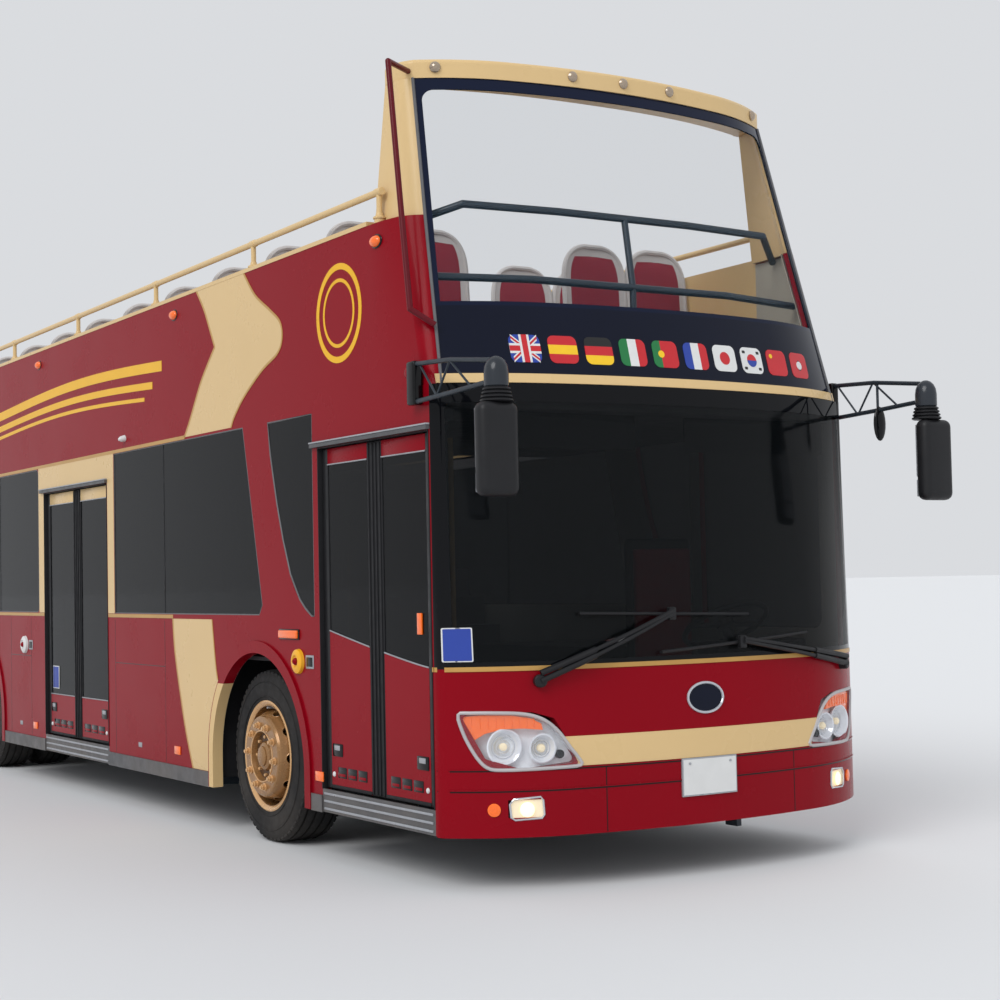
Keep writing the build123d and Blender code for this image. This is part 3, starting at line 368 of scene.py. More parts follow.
class Piece:
    """Collects shapes into one object with several materials."""

    def __init__(self, name):
        self.name = name
        self.bm = bmesh.new()
        self.mats = []

    def take(self, bm, mat, m=None):
        """Adds a finished shape to the piece."""
        if m is not None:
            bmesh.ops.transform(bm, matrix=m, verts=bm.verts)
        if mat not in self.mats:
            self.mats.append(mat)
        for f in bm.faces:
            f.material_index = self.mats.index(mat)
        me = bpy.data.meshes.new("tmp")
        bm.to_mesh(me)
        bm.free()
        self.bm.from_mesh(me)
        bpy.data.meshes.remove(me)

    def box(self, x, y, z, mat, bevel=0.0, segs=2, m=None):
        """Block between the ends of the ranges x, y and z, with rounded edges."""
        bm = bmesh.new()
        place = Matrix.Translation([(q[0] + q[1]) / 2 for q in (x, y, z)])
        place = place @ Matrix.Diagonal([abs(q[1] - q[0]) for q in (x, y, z)] + [1.0])
        bmesh.ops.create_cube(bm, size=1.0, matrix=place)
        if bevel:
            bmesh.ops.bevel(bm, geom=bm.edges[:], offset=bevel, segments=segs, affect="EDGES", profile=0.5, material=-1)
        self.take(bm, mat, m)

    def lathe(self, profile, mat, origin, axis, n=32, closed=False):
        """Spins (along, radius) points about axis through origin."""
        bm = bmesh.new()
        z = Vector(axis).normalized()
        x = z.orthogonal().normalized()
        line = [bm.verts.new(Vector(origin) + z * a + x * r) for a, r in profile]
        edges = [bm.edges.new(pair) for pair in zip(line, line[1:] + line[:1] if closed else line[1:])]
        bmesh.ops.spin(bm, geom=line + edges, cent=origin, axis=z, angle=2 * math.pi, steps=n, use_merge=True)
        bmesh.ops.remove_doubles(bm, verts=bm.verts, dist=1e-5)
        face_out(bm)
        self.take(bm, mat)

    def cyl(self, p, q, r, mat, n=20, bevel=0.0):
        """Round pin from p to q."""
        p, q = Vector(p), Vector(q)
        h = (q - p).length
        b = min(bevel, h / 3, r / 2)
        prof = [(0, 0), (0, r), (h, r), (h, 0)]
        if b:
            prof = [(0, 0), (0, r - b), (b, r), (h - b, r), (h, r - b), (h, 0)]
        self.lathe(prof, mat, p, q - p, n)

    def ball(self, c, r, mat, scale=(1, 1, 1), n=16):
        bm = bmesh.new()
        bmesh.ops.create_uvsphere(bm, u_segments=n, v_segments=max(6, n // 2), radius=r)
        self.take(bm, mat, Matrix.Translation(c) @ Matrix.Diagonal((*scale, 1)))

    def tube(self, pts, r, mat, n=10, closed=False):
        """Round bar through the points: one circle, extruded from point to point."""
        bm = bmesh.new()
        pts = [Vector(p) for p in pts]
        places = []
        ref = None
        for i, p in enumerate(pts):
            a = pts[i - 1] if i or closed else pts[i]
            b = pts[(i + 1) % len(pts)] if i < len(pts) - 1 or closed else pts[i]
            t = (b - a).normalized()
            if ref is None:
                ref = t.orthogonal().normalized()
            ref = (ref - t * ref.dot(t)).normalized()
            places.append(Matrix.Translation(p) @ Matrix((ref, t.cross(ref), t)).transposed().to_4x4())
        bmesh.ops.create_circle(bm, segments=n, radius=r, matrix=places[0])
        first = bm.edges[:]
        edges = first
        for old, new in zip(places, places[1:]):
            geom = bmesh.ops.extrude_edge_only(bm, edges=edges)["geom"]
            ring = [v for v in geom if isinstance(v, bmesh.types.BMVert)]
            edges = [e for e in geom if isinstance(e, bmesh.types.BMEdge) and all(v in ring for v in e.verts)]
            bmesh.ops.transform(bm, matrix=new @ old.inverted(), verts=ring)
        if closed:
            bmesh.ops.bridge_loops(bm, edges=first + edges)
        else:
            bmesh.ops.edgeloop_fill(bm, edges=first + edges)
        face_out(bm)
        self.take(bm, mat)

    def sheet(self, grid, normals, out, depth, mat):
        """A flat slab bent over a grid of points: front at +out along the normals, back at -depth."""
        bm = bmesh.new()
        rows, cols = len(grid) - 1, len(grid[0]) - 1
        bmesh.ops.create_grid(bm, x_segments=cols, y_segments=rows, size=0.5)
        geom = bmesh.ops.extrude_face_region(bm, geom=bm.faces[:], use_keep_orig=True)["geom"]
        bmesh.ops.translate(bm, vec=(0, 0, -1), verts=[v for v in geom if isinstance(v, bmesh.types.BMVert)])
        for v in bm.verts:
            i, j = round((v.co.y + 0.5) * rows), round((v.co.x + 0.5) * cols)
            v.co = Vector(grid[i][j]) + Vector(normals[i][j]) * (out if v.co.z > -0.5 else -depth)
        face_out(bm)
        self.take(bm, mat)

    def plate(self, front, back, mat):
        """Solid between two matching outlines: a face, pushed through."""
        bm = bmesh.new()
        rim = [bm.verts.new(p) for p in front]
        face = bm.faces.new(rim)
        geom = bmesh.ops.extrude_face_region(bm, geom=[face], use_keep_orig=True)["geom"]
        pushed = {v for v in geom if isinstance(v, bmesh.types.BMVert)}
        for v, p in zip(rim, back):
            next(e.other_vert(v) for e in v.link_edges if e.other_vert(v) in pushed).co = p
        face_out(bm)
        bmesh.ops.triangulate(bm, faces=[f for f in bm.faces if len(f.verts) > 4 or f == face])
        self.take(bm, mat)

    def done(self, body="bus", sharp=35, replaces=(), slot=None):
        """Makes the object, with edges sharper than the angle kept crisp."""
        for f in self.bm.faces:
            f.smooth = True
        lim = math.radians(sharp)
        for e in self.bm.edges:
            if len(e.link_faces) == 2 and e.calc_face_angle(0.0) > lim:
                e.smooth = False
        me = bpy.data.meshes.new(self.name)
        self.bm.to_mesh(me)
        self.bm.free()
        for m in self.mats:
            me.materials.append(m.m)
        ob = bpy.data.objects.new(self.name, me)
        bpy.context.scene.collection.objects.link(ob)
        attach(ob, body)
        if replaces:
            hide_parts(*replaces)
        return ob


def smooth(points, n=8, closed=False):
    """Catmull-Rom curve through points of a plane."""
    p = [Vector((*q, 0)) for q in points]
    out = []
    k = len(p)
    for i in range(k if closed else k - 1):
        if closed:
            a, b, c, d = p[i - 1], p[i], p[(i + 1) % k], p[(i + 2) % k]
        else:
            a, b, c, d = p[max(i - 1, 0)], p[i], p[i + 1], p[min(i + 2, k - 1)]
        for s in range(n):
            t = s / n
            out.append(0.5 * ((2 * b) + (c - a) * t + (2 * a - 5 * b + 4 * c - d) * t * t
                              + (3 * b - a - 3 * c + d) * t ** 3))
    if not closed:
        out.append(p[-1])
    return [(v.x, v.y) for v in out]


# Front surface, from the same plan sections as the solids


def arc3(a, b, c, n):
    """Points of the circle's arc from a through b to c."""
    (ax, ay), (bx, by), (cx, cy) = a, b, c
    d = 2 * (ax * (by - cy) + bx * (cy - ay) + cx * (ay - by))
    ux = ((ax * ax + ay * ay) * (by - cy) + (bx * bx + by * by) * (cy - ay) + (cx * cx + cy * cy) * (ay - by)) / d
    uy = ((ax * ax + ay * ay) * (cx - bx) + (bx * bx + by * by) * (ax - cx) + (cx * cx + cy * cy) * (bx - ax)) / d
    r = math.hypot(ax - ux, ay - uy)
    t0, t1, t2 = (math.atan2(q[1] - uy, q[0] - ux) for q in (a, b, c))
    t1 = t0 + (t1 - t0 + math.pi) % (2 * math.pi) - math.pi
    t2 = t1 + (t2 - t1 + math.pi) % (2 * math.pi) - math.pi
    turns = [t0 + (t2 - t0) * i / n for i in range(n + 1)]
    return [(ux + r * math.cos(t), uy + r * math.sin(t)) for t in turns]


def plan(half, middle):
    """Half a plan section, from the side to the middle: arcs through points in millimetres."""
    pts = []
    for i in range(0, len(half) - 1, 2):
        pts += arc3(half[i], half[i + 1], half[i + 2], 12)[(1 if pts else 0):]
    e = half[-1]
    pts += arc3(e, (0.0, middle), (-e[0], e[1]), 24)[1:13]
    return [(x / 1000, y / 1000) for x, y in pts]


BUMPER = plan(((1250, 300), (1243.9, 269.4), (1226.6, 243.4), (984.2, 64), (700, -36.6)), -104)
LOW = (
    (0.0, BUMPER),
    (0.56, BUMPER),
    (1.005, plan(((1250, 300), (1243.9, 271), (1226.6, 246), (984.2, 78), (700, -14)), -80)),
    (2.31, plan(((1250, 300), (1238, 283), (1205, 266), (950, 160), (670, 96)), 45)),
)
HIGH = (
    (2.31, plan(((1214, 298), (950, 172), (660, 102)), 50)),
    (3.85, plan(((1106, 716), (866, 587), (601, 514)), 460)),
)


def nose_y(x, z, tab):
    """y of the front surface, between the sections below and above."""
    i = 0
    while i < len(tab) - 2 and z > tab[i + 1][0]:
        i += 1
    (z0, a), (z1, b) = tab[i], tab[i + 1]
    f = (z - z0) / (z1 - z0)
    line = [(p[0] * (1 - f) + q[0] * f, p[1] * (1 - f) + q[1] * f) for p, q in zip(a, b)]
    x = min(abs(x), line[0][0])
    for p, q in zip(line, line[1:]):
        if q[0] <= x + 1e-9:
            t = 0 if p[0] == q[0] else (p[0] - x) / (p[0] - q[0])
            return Y(p[1] + (q[1] - p[1]) * t)
    return Y(line[-1][1])


def on_nose(x, z, high=False):
    """Point of the front surface and its outward normal."""
    tab = HIGH if high else LOW
    e = 0.004
    p = Vector((x, nose_y(x, z, tab), z))
    sx = -1.0 if x > 0 else 1.0
    q = Vector((x + e * sx, nose_y(x + e * sx, z, tab), z))
    w = Vector((x, nose_y(x, z - e, tab), z - e))
    n = ((q - p) * sx).cross(p - w).normalized()
    if n.y > 0:
        n = -n
    return p, n


def nose_band(piece, x0, x1, z0, z1, mat, out=0.002, depth=0.004, high=False, nx=None):
    """Skin on the front surface between x0..x1 and z0..z1."""
    nx = nx or max(2, int(abs(x1 - x0) / 0.04))
    rows = [[on_nose(x0 + (x1 - x0) * i / nx, z, high) for i in range(nx + 1)] for z in (z0, z1)]
    piece.sheet([[p for p, n in row] for row in rows], [[n for p, n in row] for row in rows], out, depth, mat)


def nose_plate(piece, outline, mat, out=0.002, depth=0.004, high=False):
    """Solid on the front surface inside an outline of (x, z) points."""
    a, b = [], []
    for x, z in outline:
        p, n = on_nose(x, z, high)
        a.append(p + n * out)
        b.append(p - n * depth)
    piece.plate(a, b, mat)


def side_plate(piece, outline, s, mat):
    """Thin solid on a body side inside an outline of (y, z) points."""
    outer, inner = ([(s * x, Y(y), z) for y, z in outline] for x in (HALF + 0.0015, HALF - 0.002))
    piece.plate(outer, inner, mat)


def side_line(piece, pts, s, w, mat, out=0.0022):
    """Flat line of width w along points on a body side."""
    pts = [Vector((0, p[0], p[1])) for p in pts]
    left, right = [], []
    for i, p in enumerate(pts):
        t = (pts[min(i + 1, len(pts) - 1)] - pts[max(i - 1, 0)]).normalized()
        nrm = Vector((0, -t.z, t.y)) * w / 2
        left.append(p + nrm)
        right.append(p - nrm)
    side_band(piece, [[(q.y, q.z) for q in line] for line in (left, right)], s, mat, out)


def side_band(piece, lines, s, mat, out):
    """Skin on a body side between two lines of (y, z) points."""
    grid = [[(s * HALF, Y(y), z) for y, z in line] for line in lines]
    piece.sheet(grid, [[(s, 0, 0)] * len(line) for line in lines], out, 0.001, mat)


# Outlines


def rect(x0, x1, z0, z1):
    return [(x0, z0), (x1, z0), (x1, z1), (x0, z1)]


def oval(cx, cz, rx, rz, n):
    turns = [2 * math.pi * k / n for k in range(n)]
    return [(cx + rx * math.cos(t), cz + rz * math.sin(t)) for t in turns]


def round_rect(cx, cz, w, h, r, n=5):
    out = []
    for sx, sz, t0 in ((1, 1, 0), (-1, 1, 90), (-1, -1, 180), (1, -1, 270)):
        for i in range(n + 1):
            t = math.radians(t0 + 90 * i / n)
            out.append((cx + sx * (w / 2 - r) + r * math.cos(t), cz + sz * (h / 2 - r) + r * math.sin(t)))
    return out


# Livery bands on both sides: edges of the waves as (y, z) points
WAVE_REAR = (((3.045, 3.143), (2.935, 3.02), (2.85, 2.89), (2.785, 2.785)),
             ((2.785, 2.780), (2.90, 2.685), (3.011, 2.584), (3.172, 2.392), (3.262, GOLD_HIGH)))
WAVE_FRONT = ((2.36, 3.143), (2.211, 2.999), (2.018, 2.889), (1.895, 2.81), (1.87, 2.72), (1.93, 2.645),
              (2.133, 2.575), (2.366, 2.461), (2.507, 2.363), (2.566, GOLD_HIGH))
LOW_REAR = ((3.483, 1.213), (3.457, 1.023), (3.384, 0.785), (3.297, 0.551), (3.19, 0.335))
LOW_FRONT = ((2.878, 1.213), (2.852, 1.06), (2.826, 0.93), (2.802, 0.866))


def along(c, t):
    """Point at share t of a line of points."""
    f = t * (len(c) - 1)
    i = min(int(f), len(c) - 2)
    return (c[i][0] + (c[i + 1][0] - c[i][0]) * (f - i), c[i][1] + (c[i + 1][1] - c[i][1]) * (f - i))


def strip(piece, c1, c2, s, mat):
    """Skin between two curves, matched along their length."""
    side_band(piece, [[along(c, k / 60) for k in range(61)] for c in (c1, c2)], s, mat, 0.0012)


for s, side in ((-1, "right"), (1, "left")):
    p = Piece("livery_" + side)
    a = [q for part in WAVE_REAR for q in smooth(part)]
    b = smooth(WAVE_FRONT)
    strip(p, a, b, s, cream)
    side_line(p, a, s, 0.014, gold)
    side_line(p, b, s, 0.014, gold)
    c = smooth(LOW_REAR)
    turns = [math.radians(40 - 40 * k / 10) for k in range(11)]
    arch = [(ARCH + ARCH_R * math.cos(t), ARCH_Z + ARCH_R * math.sin(t)) for t in turns]
    d = smooth(LOW_FRONT)[:-1] + [q for q in arch if q[1] < 0.85] + [(2.924, 0.335)]
    strip(p, c, d, s, cream)
    side_line(p, c, s, 0.014, gold)
    side_line(p, [q for q in d if q[1] > 0.84], s, 0.012, gold)
    # gold lines over and under the windows
    side_line(p, [(3.26, GOLD_HIGH), (10.68, GOLD_HIGH)], s, 0.022, gold)
    for y0, y1 in ((3.48, 4.625), (5.98, 10.68)) if s < 0 else ((3.48, 10.68),):
        side_line(p, [(y0, GOLD_LOW), (y1, GOLD_LOW)], s, 0.022, gold)
    if s < 0:  # cream round the middle door
        for y0, y1, z0 in ((4.505, 4.627, SILL), (5.978, 6.095, SILL), (4.627, 5.978, 2.108)):
            side_plate(p, rect(y0, y1, z0, 2.287), s, cream)
    for z0, z1, dy in ((2.735, 2.800, 0.0), (2.640, 2.685, 0.16), (2.575, 2.600, 0.30)):
        wave = [(3.62 + dy + 6.2 * k / 40, 0.05 * math.sin(k * 0.157)) for k in range(41)]
        side_band(p, [[(y, z + w) for y, w in wave] for z in (z0, z1)], s, yellow_band, 0.0014)
    for r, w in ((0.235, 0.032), (0.165, 0.018)):
        ring = oval(1.20, 2.76, r, r, 48)
        side_line(p, ring + ring[:1], s, w, yellow_band, 0.0014)
    p.done(slot="cream")

# Rubber round the side windows
WINDOWS = [[(1.528, 1.236), (1.528, HEAD), (2.079, HEAD), (2.05, 2.11), (2.012, 1.967), (1.972, 1.83), (1.905, 1.64),
            (1.816, 1.454), (1.76, 1.385), (1.705, 1.322), (1.64, 1.275), (1.565, 1.236)],
           [(2.406, HEAD), (4.5, HEAD), (4.5, SILL), (2.215, SILL), (2.171, 1.295)]]
WINDOWS += [round_rect((y0 + y1) / 2, 1.7625, y1 - y0, 1.045, 0.045) for y0, y1 in ((6.1, 8.06), (8.13, 10.08))]
LEFT_WINDOWS = [round_rect(0.93, 1.70, 1.02, 1.17, 0.06), round_rect(5.3, 1.7625, 1.46, 1.045, 0.045)]
seam = Mat("grey_seal", srgb(96, 96, 98), 0.5)
seam.vary(12.0, 0.3).bump(400, 0.06)
seals = Piece("window_seals")
for s in (-1, 1):
    for outline in WINDOWS + (LEFT_WINDOWS if s > 0 else []):
        pts = [Vector((s * (HALF - 0.0045), Y(y), z)) for y, z in outline]
        cen = sum(pts, Vector()) / len(pts)
        seals.tube([q + (cen - q).normalized() * 0.004 for q in pts], 0.0055, seam, n=6, closed=True)
    for y in (3.62, 7.08, 9.1):
        seals.box((s * 1.2395, s * 1.2475), around(Y(y), 0.006), (1.243, 2.282), rubber)
PILLAR = ((1.190, 0.286, 2.312), (1.131, 0.513, 3.143), (1.079, 0.700, 3.850))  # side edge of the upper windscreen
for s in (-1, 1):
    edge = [Vector((s * x, Y(y), z)) + Vector((s * 0.0015, -0.0015, 0)) for x, y, z in PILLAR]
    for pair in zip(edge, edge[1:]):
        seals.tube(pair, 0.008, seam, n=8)
seals.done()

# Front: cream strips, gold bead, creases and seams of the bumper, blank plate and blue sticker, boss
NOSE_X = 1.2495  # where the skins of the front end
front = Piece("front_trim")
nose_band(front, -1.213, 1.213, 2.314, 2.358, cream, 0.006, high=True)
nose_band(front, -NOSE_X, NOSE_X, 0.993, 1.014, gold, 0.005, nx=72)
for s in (-1, 1):
    front.box((s * 1.249, s * 1.2545), span(0.3, 0.311), (0.993, 1.014), gold)
nose_band(front, -0.70, 0.70, 0.556, 0.690, cream, 0.0022)
for s in (-1, 1):
    nose_plate(front, [(s * 0.69, 0.556), (s * 0.70, 0.69), (s * 0.757, 0.69), (s * 0.684, 0.556)], cream, 0.0022)
# the black strip under each raised red edge is painted shade in the crease
for z in (0.545, 0.452):  # the bumper's creases
    nose_band(front, -NOSE_X, NOSE_X, z - 0.0035, z + 0.0035, gloss_black, 0.0008, nx=72)
    nose_band(front, -NOSE_X, NOSE_X, z + 0.0035, z + 0.0075, red, 0.0045, nx=72)
for x in (-0.56, 0.56):
    nose_band(front, x - 0.002, x + 0.002, 0.25, 0.545, gloss_black, 0.001, nx=1)
nose_band(front, -0.155, 0.155, 0.384, 0.548, white, 0.012, 0.002, nx=8)
nose_band(front, -0.162, 0.162, 0.377, 0.555, alu, 0.009, 0.002, nx=8)
for x in (-0.12, 0.12):  # screws of the plate
    p, n = on_nose(x, 0.53)
    front.cyl(p + n * 0.011, p + n * 0.016, 0.006, alu, 10)
nose_plate(front, round_rect(-1.178, 1.115, 0.112, 0.155, 0.006), white, 0.002)
nose_plate(front, round_rect(-1.178, 1.115, 0.102, 0.145, 0.004), blue, 0.0032)
# plain oval boss in the middle of the front panel
boss = oval(0.0, 0.832, 0.104, 0.070, 40)
front.tube([q + n * 0.003 for q, n in (on_nose(x, z) for x, z in boss)], 0.0065, chrome, n=8, closed=True)
nose_plate(front, boss, navy, 0.0015)
front.done()

# Row of ten flag stickers on the apron: white, red, blue, black, green and yellow
W, R, B, K, G, N = (214, 214, 212), (190, 24, 34), (28, 58, 150), (20, 20, 20), (16, 112, 56), (236, 190, 20)
FLAGS = ("cross", ("h", R, N, R), ("h", K, R, N), ("v", G, W, R), ("v", G, R, R), ("v", B, W, R), "disc", "halves",
         ("h", R, R, R), ("h", R, R, R))
FLAG_W, FLAG_H, FLAG_Z = 0.148, 0.134, 2.48
FLAG_X, FLAG_STEP = -0.80, 0.1885
flag_mats = {}


def flag_part(outline, c, lift):
    """Part of a sticker in colour c, its face lift in front of the apron."""
    if c not in flag_mats:
        flag_mats[c] = Mat("sticker_%d_%d_%d" % c, srgb(*c), 0.3)
        flag_mats[c].vary(18.0, 0.1).bump(300, 0.03)
    nose_plate(flags, outline, flag_mats[c], lift, high=True)


def clip(poly, axis, lim, keep_less):
    """Part of an outline on one side of a line across an axis."""
    out = []
    for i, q in enumerate(poly):
        r = poly[(i + 1) % len(poly)]
        inside_q = (q[axis] <= lim) == keep_less
        inside_r = (r[axis] <= lim) == keep_less
        if inside_q:
            out.append(q)
        if inside_q != inside_r:
            t = (lim - q[axis]) / (r[axis] - q[axis])
            out.append((q[0] + (r[0] - q[0]) * t, q[1] + (r[1] - q[1]) * t))
    return out


def disc(cx, cz, r, n=20):
    return oval(cx, cz, r, r, n)


flags = Piece("stickers")
for i, kind in enumerate(FLAGS):
    cx, cz, w, h = FLAG_X + i * FLAG_STEP, FLAG_Z, FLAG_W, FLAG_H
    full = round_rect(cx, cz, w, h, 0.030)
    if kind == "cross":
        flag_part(full, B, 0.0022)
        for a in (1, -1):
            for c, half_w, lift in ((W, 0.014, 0.0030), (R, 0.006, 0.0036)):
                flag_part([(cx - 0.062, cz - a * 0.054 - half_w), (cx + 0.062, cz + a * 0.054 - half_w),
                           (cx + 0.062, cz + a * 0.054 + half_w), (cx - 0.062, cz - a * 0.054 + half_w)], c, lift)
        for c, q, lift in ((W, 0.024, 0.0042), (R, 0.013, 0.0048)):
            flag_part(rect(cx - q, cx + q, cz - h / 2, cz + h / 2), c, lift)
            flag_part(rect(cx - w / 2, cx + w / 2, cz - q, cz + q), c, lift)
    elif kind in ("disc", "halves"):
        flag_part(full, W, 0.0022)
        flag_part(disc(cx, cz, 0.033), R, 0.0030)
        if kind == "halves":
            flag_part(clip(disc(cx, cz, 0.033), 1, cz, True), B, 0.0038)
            for a in (-1, 1):
                for b in (-1, 1):
                    flag_part(round_rect(cx + a * 0.05, cz + b * 0.042, 0.02, 0.014, 0.002, 2), K, 0.003)
    else:
        axis = 1 if kind[0] == "h" else 0
        for k in range(3):
            if axis:
                lo, hi = cz + h / 2 - h * (k + 1) / 3, cz + h / 2 - h * k / 3
            else:
                lo, hi = cx - w / 2 + w * k / 3, cx - w / 2 + w * (k + 1) / 3
            flag_part(clip(clip(full, axis, hi, True), axis, lo, False), kind[k + 1], 0.0022)
    if i == 4:
        flag_part(disc(cx - w / 6, cz, 0.018), N, 0.003)
    if i == 8:
        flag_part(disc(cx - 0.04, cz + 0.033, 0.012, 10), N, 0.003)
    if i == 9:
        flag_part(disc(cx, cz, 0.022, 12), W, 0.003)
flags.done()

# Lamp clusters: outlines as (x, z) points
LAMP = ((1.183, 0.8), (1.14, 0.807), (1.028, 0.805), (0.948, 0.8), (0.884, 0.786), (0.829, 0.757), (0.777, 0.706),
        (0.732, 0.64), (0.697, 0.594), (0.685, 0.559), (0.783, 0.553), (0.915, 0.55), (1.016, 0.549), (1.073, 0.555),
        (1.109, 0.587), (1.144, 0.654), (1.17, 0.726))
INDICATOR = ((1.170, 0.790), (1.10, 0.796), (0.98, 0.792), (0.90, 0.777), (0.857, 0.752), (0.852, 0.724),
             (0.93, 0.732), (1.02, 0.732), (1.09, 0.712), (1.140, 0.676), (1.158, 0.73))
FOG_LAMP = ((0.873, 0.425), (0.985, 0.417), (1.0, 0.395), (0.995, 0.335), (0.98, 0.324), (0.868, 0.33),
            (0.858, 0.345), (0.862, 0.41))
lamp_rim = Mat("lamp_rim", srgb(176, 172, 172), 0.3)
lamp_rim.vary(12.0, 0.15).bump(200, 0.03)
lamps = Piece("lamp_details")
for s in (-1, 1):
    o = [(s * x, z) for x, z in smooth(LAMP, 3, True)]
    rim_pts = [on_nose(x, z) for x, z in o]
    lamps.tube([q + n * 0.001 for q, n in rim_pts], 0.0085, lamp_rim, n=8, closed=True)
    nose_plate(lamps, o, clear, 0.006, -0.003)
    nose_plate(lamps, o, silver, -0.050, 0.056)
    cen = sum((q for q, n in rim_pts), Vector()) / len(rim_pts)
    loop = rim_pts + rim_pts[:1]
    inward = [(cen - q).normalized() for q, n in loop]
    lamps.sheet([[q for q, n in loop], [q - n * 0.054 for q, n in loop]], [inward, inward], 0.004, -0.001, silver)
    # reflector bowls with bulbs, small dark lens, amber indicator with ribs
    for x, z, r in ((1.012, 0.650, 0.074), (0.852, 0.640, 0.058)):
        c, n = on_nose(s * x, z)
        n = Vector((n.x * 0.5, n.y, 0)).normalized()
        c = c - n * 0.040
        lamps.lathe([(-0.021, 0), (-0.021, r * 0.6), (0.008, r + 0.001), (0.026, r + 0.010), (0.028, r + 0.004),
                     (0.026, r), (0.010, r * 0.86), (-0.012, r * 0.55), (-0.018, r * 0.2), (-0.018, 0)],
                    reflector, c, n, 36)
        for q in (0.72, 0.46):  # steps of the bowl
            back = 0.02 * (0.72 - q)
            lamps.lathe([(0.004 - back, r * q), (0.0075 - back, r * q - 0.003), (0.003 - back, r * q - 0.006)],
                        reflector, c, n, 36, closed=True)
        lamps.lathe([(-0.018, 0.0), (-0.018, 0.016), (0.010, 0.018), (0.018, 0.012), (0.021, 0)], lamp_on, c, n, 20)
    c, n = on_nose(s * 0.775, 0.612)
    lamps.cyl(c - n * 0.05, c - n * 0.014, 0.02, gloss_black, 20, bevel=0.004)
    nose_plate(lamps, [(s * x, z) for x, z in INDICATOR], amber, -0.008, 0.040)
    for k in range(9):
        x = 0.89 + k * 0.031
        q0, m0 = on_nose(s * x, 0.735)
        q1, m1 = on_nose(s * x, 0.783)
        lamps.tube([q0 - m0 * 0.008, q1 - m1 * 0.008], 0.003, amber, n=6)
    # fog lamp and amber reflector in the bumper
    fog = [(s * x, z) for x, z in FOG_LAMP]
    nose_plate(lamps, fog, lamp_on, -0.004, 0.02)
    c, n = on_nose(s * 0.930, 0.370)
    lamps.lathe([(0.002, 0), (0.002, 0.034), (0.005, 0.030), (0.010, 0.016), (0.011, 0)], lamp_hot, c, n, 24)
    lamps.tube([q + n * 0.0015 for q, n in (on_nose(x, z) for x, z in fog)], 0.005, chrome, n=6, closed=True)
    c, n = on_nose(s * 1.061, 0.371)
    lamps.lathe([(-0.002, 0), (-0.002, 0.03), (0.006, 0.03), (0.009, 0.02), (0.01, 0)], amber, c, n, 20)
# clearance lamps on the hood
for x in (-0.99, -0.3, 0.0, 0.3, 0.99):
    p, n = on_nose(x, 3.85, True)
    lamps.lathe([(0, 0), (0, 0.027), (0.006, 0.027), (0.014, 0.021), (0.020, 0.010), (0.022, 0)], bronze,
                p + Vector((0, -0.008, 0.05)), Vector((n.x, n.y, 0)).normalized(), 24)
# side marker lamps: domes on the upper panel, flat ones on the skirt
for s in (-1, 1):
    for y, z in ((0.787, 3.052), (3.405, 3.052), (6.057, 3.047), (8.70, 3.047)):
        lamps.ball((s * 1.249, Y(y), z), 1.0, gloss_black, (0.010, 0.056, 0.035), 24)
        lamps.ball((s * 1.252, Y(y), z), 1.0, amber, (0.027, 0.048, 0.028), 24)
    for y, z in ((1.495, 0.425), (3.429, 0.423), (6.206, 0.414), (9.30, 0.42)):
        lamps.box((s * 1.249, s * 1.2565), around(Y(y), 0.045), around(z, 0.025), amber, 0.003)
lamps.done(replaces=("lamp_units",), slot="lamp")

# Wipers
wipers = Piece("wipers")
for root, blade0, blade1 in (((-0.86, 0.945), (-0.66, 1.243), (0.288, 1.215)),
                             ((1.03, 0.945), (-0.248, 1.053), (0.692, 1.115))):
    p0, n0 = on_nose(*root)
    p1, n1 = on_nose((blade0[0] + blade1[0]) / 2, (blade0[1] + blade1[1]) / 2)
    wipers.cyl(p0 - n0 * 0.01, p0 + n0 * 0.04, 0.03, plastic, 20, bevel=0.006)
    for dz in (0.0, 0.035):
        a = p0 + n0 * 0.035 + Vector((0, 0, dz))
        b = p1 + n1 * 0.05 + Vector((0, 0, dz * 0.4))
        mids = [a.lerp(b, t) + Vector((0, -0.04 * math.sin(math.pi * t), 0)) for t in [k / 8 for k in range(9)]]
        wipers.tube(mids, 0.010, plastic, n=8)
        wipers.tube(mids[:4], 0.015, plastic, n=8)
    blade = [on_nose(*along((blade0, blade1), k / 14)) for k in range(15)]
    wipers.tube([q + n * 0.022 for q, n in blade], 0.008, plastic, n=6)
    wipers.tube([q + n * 0.007 for q, n in blade], 0.005, rubber, n=6)
    wipers.box((-0.02, 0.02), (-0.012, 0.012), (-0.03, 0.03), plastic, 0.004, m=Matrix.Translation(p1 + n1 * 0.036))
wipers.done()

# Tyres with grooves, side rings and shoulder blocks; wheel nuts, hub caps and flanges
TYRE_R = 0.470
FRONT_TYRE = ((0.920, 1.196),)
REAR_TYRES = ((0.580, 0.856), (0.915, 1.191))
SIDEWALL = ((0.012, 0.292), (0.006, 0.302), (0.004, 0.32), (0.001, 0.335), (0.0, 0.36), (0.0, 0.39), (0.003, 0.41),
            (0.008, 0.43), (0.014, 0.445), (0.022, 0.457), (0.034, 0.4655), (0.05, 0.4685))


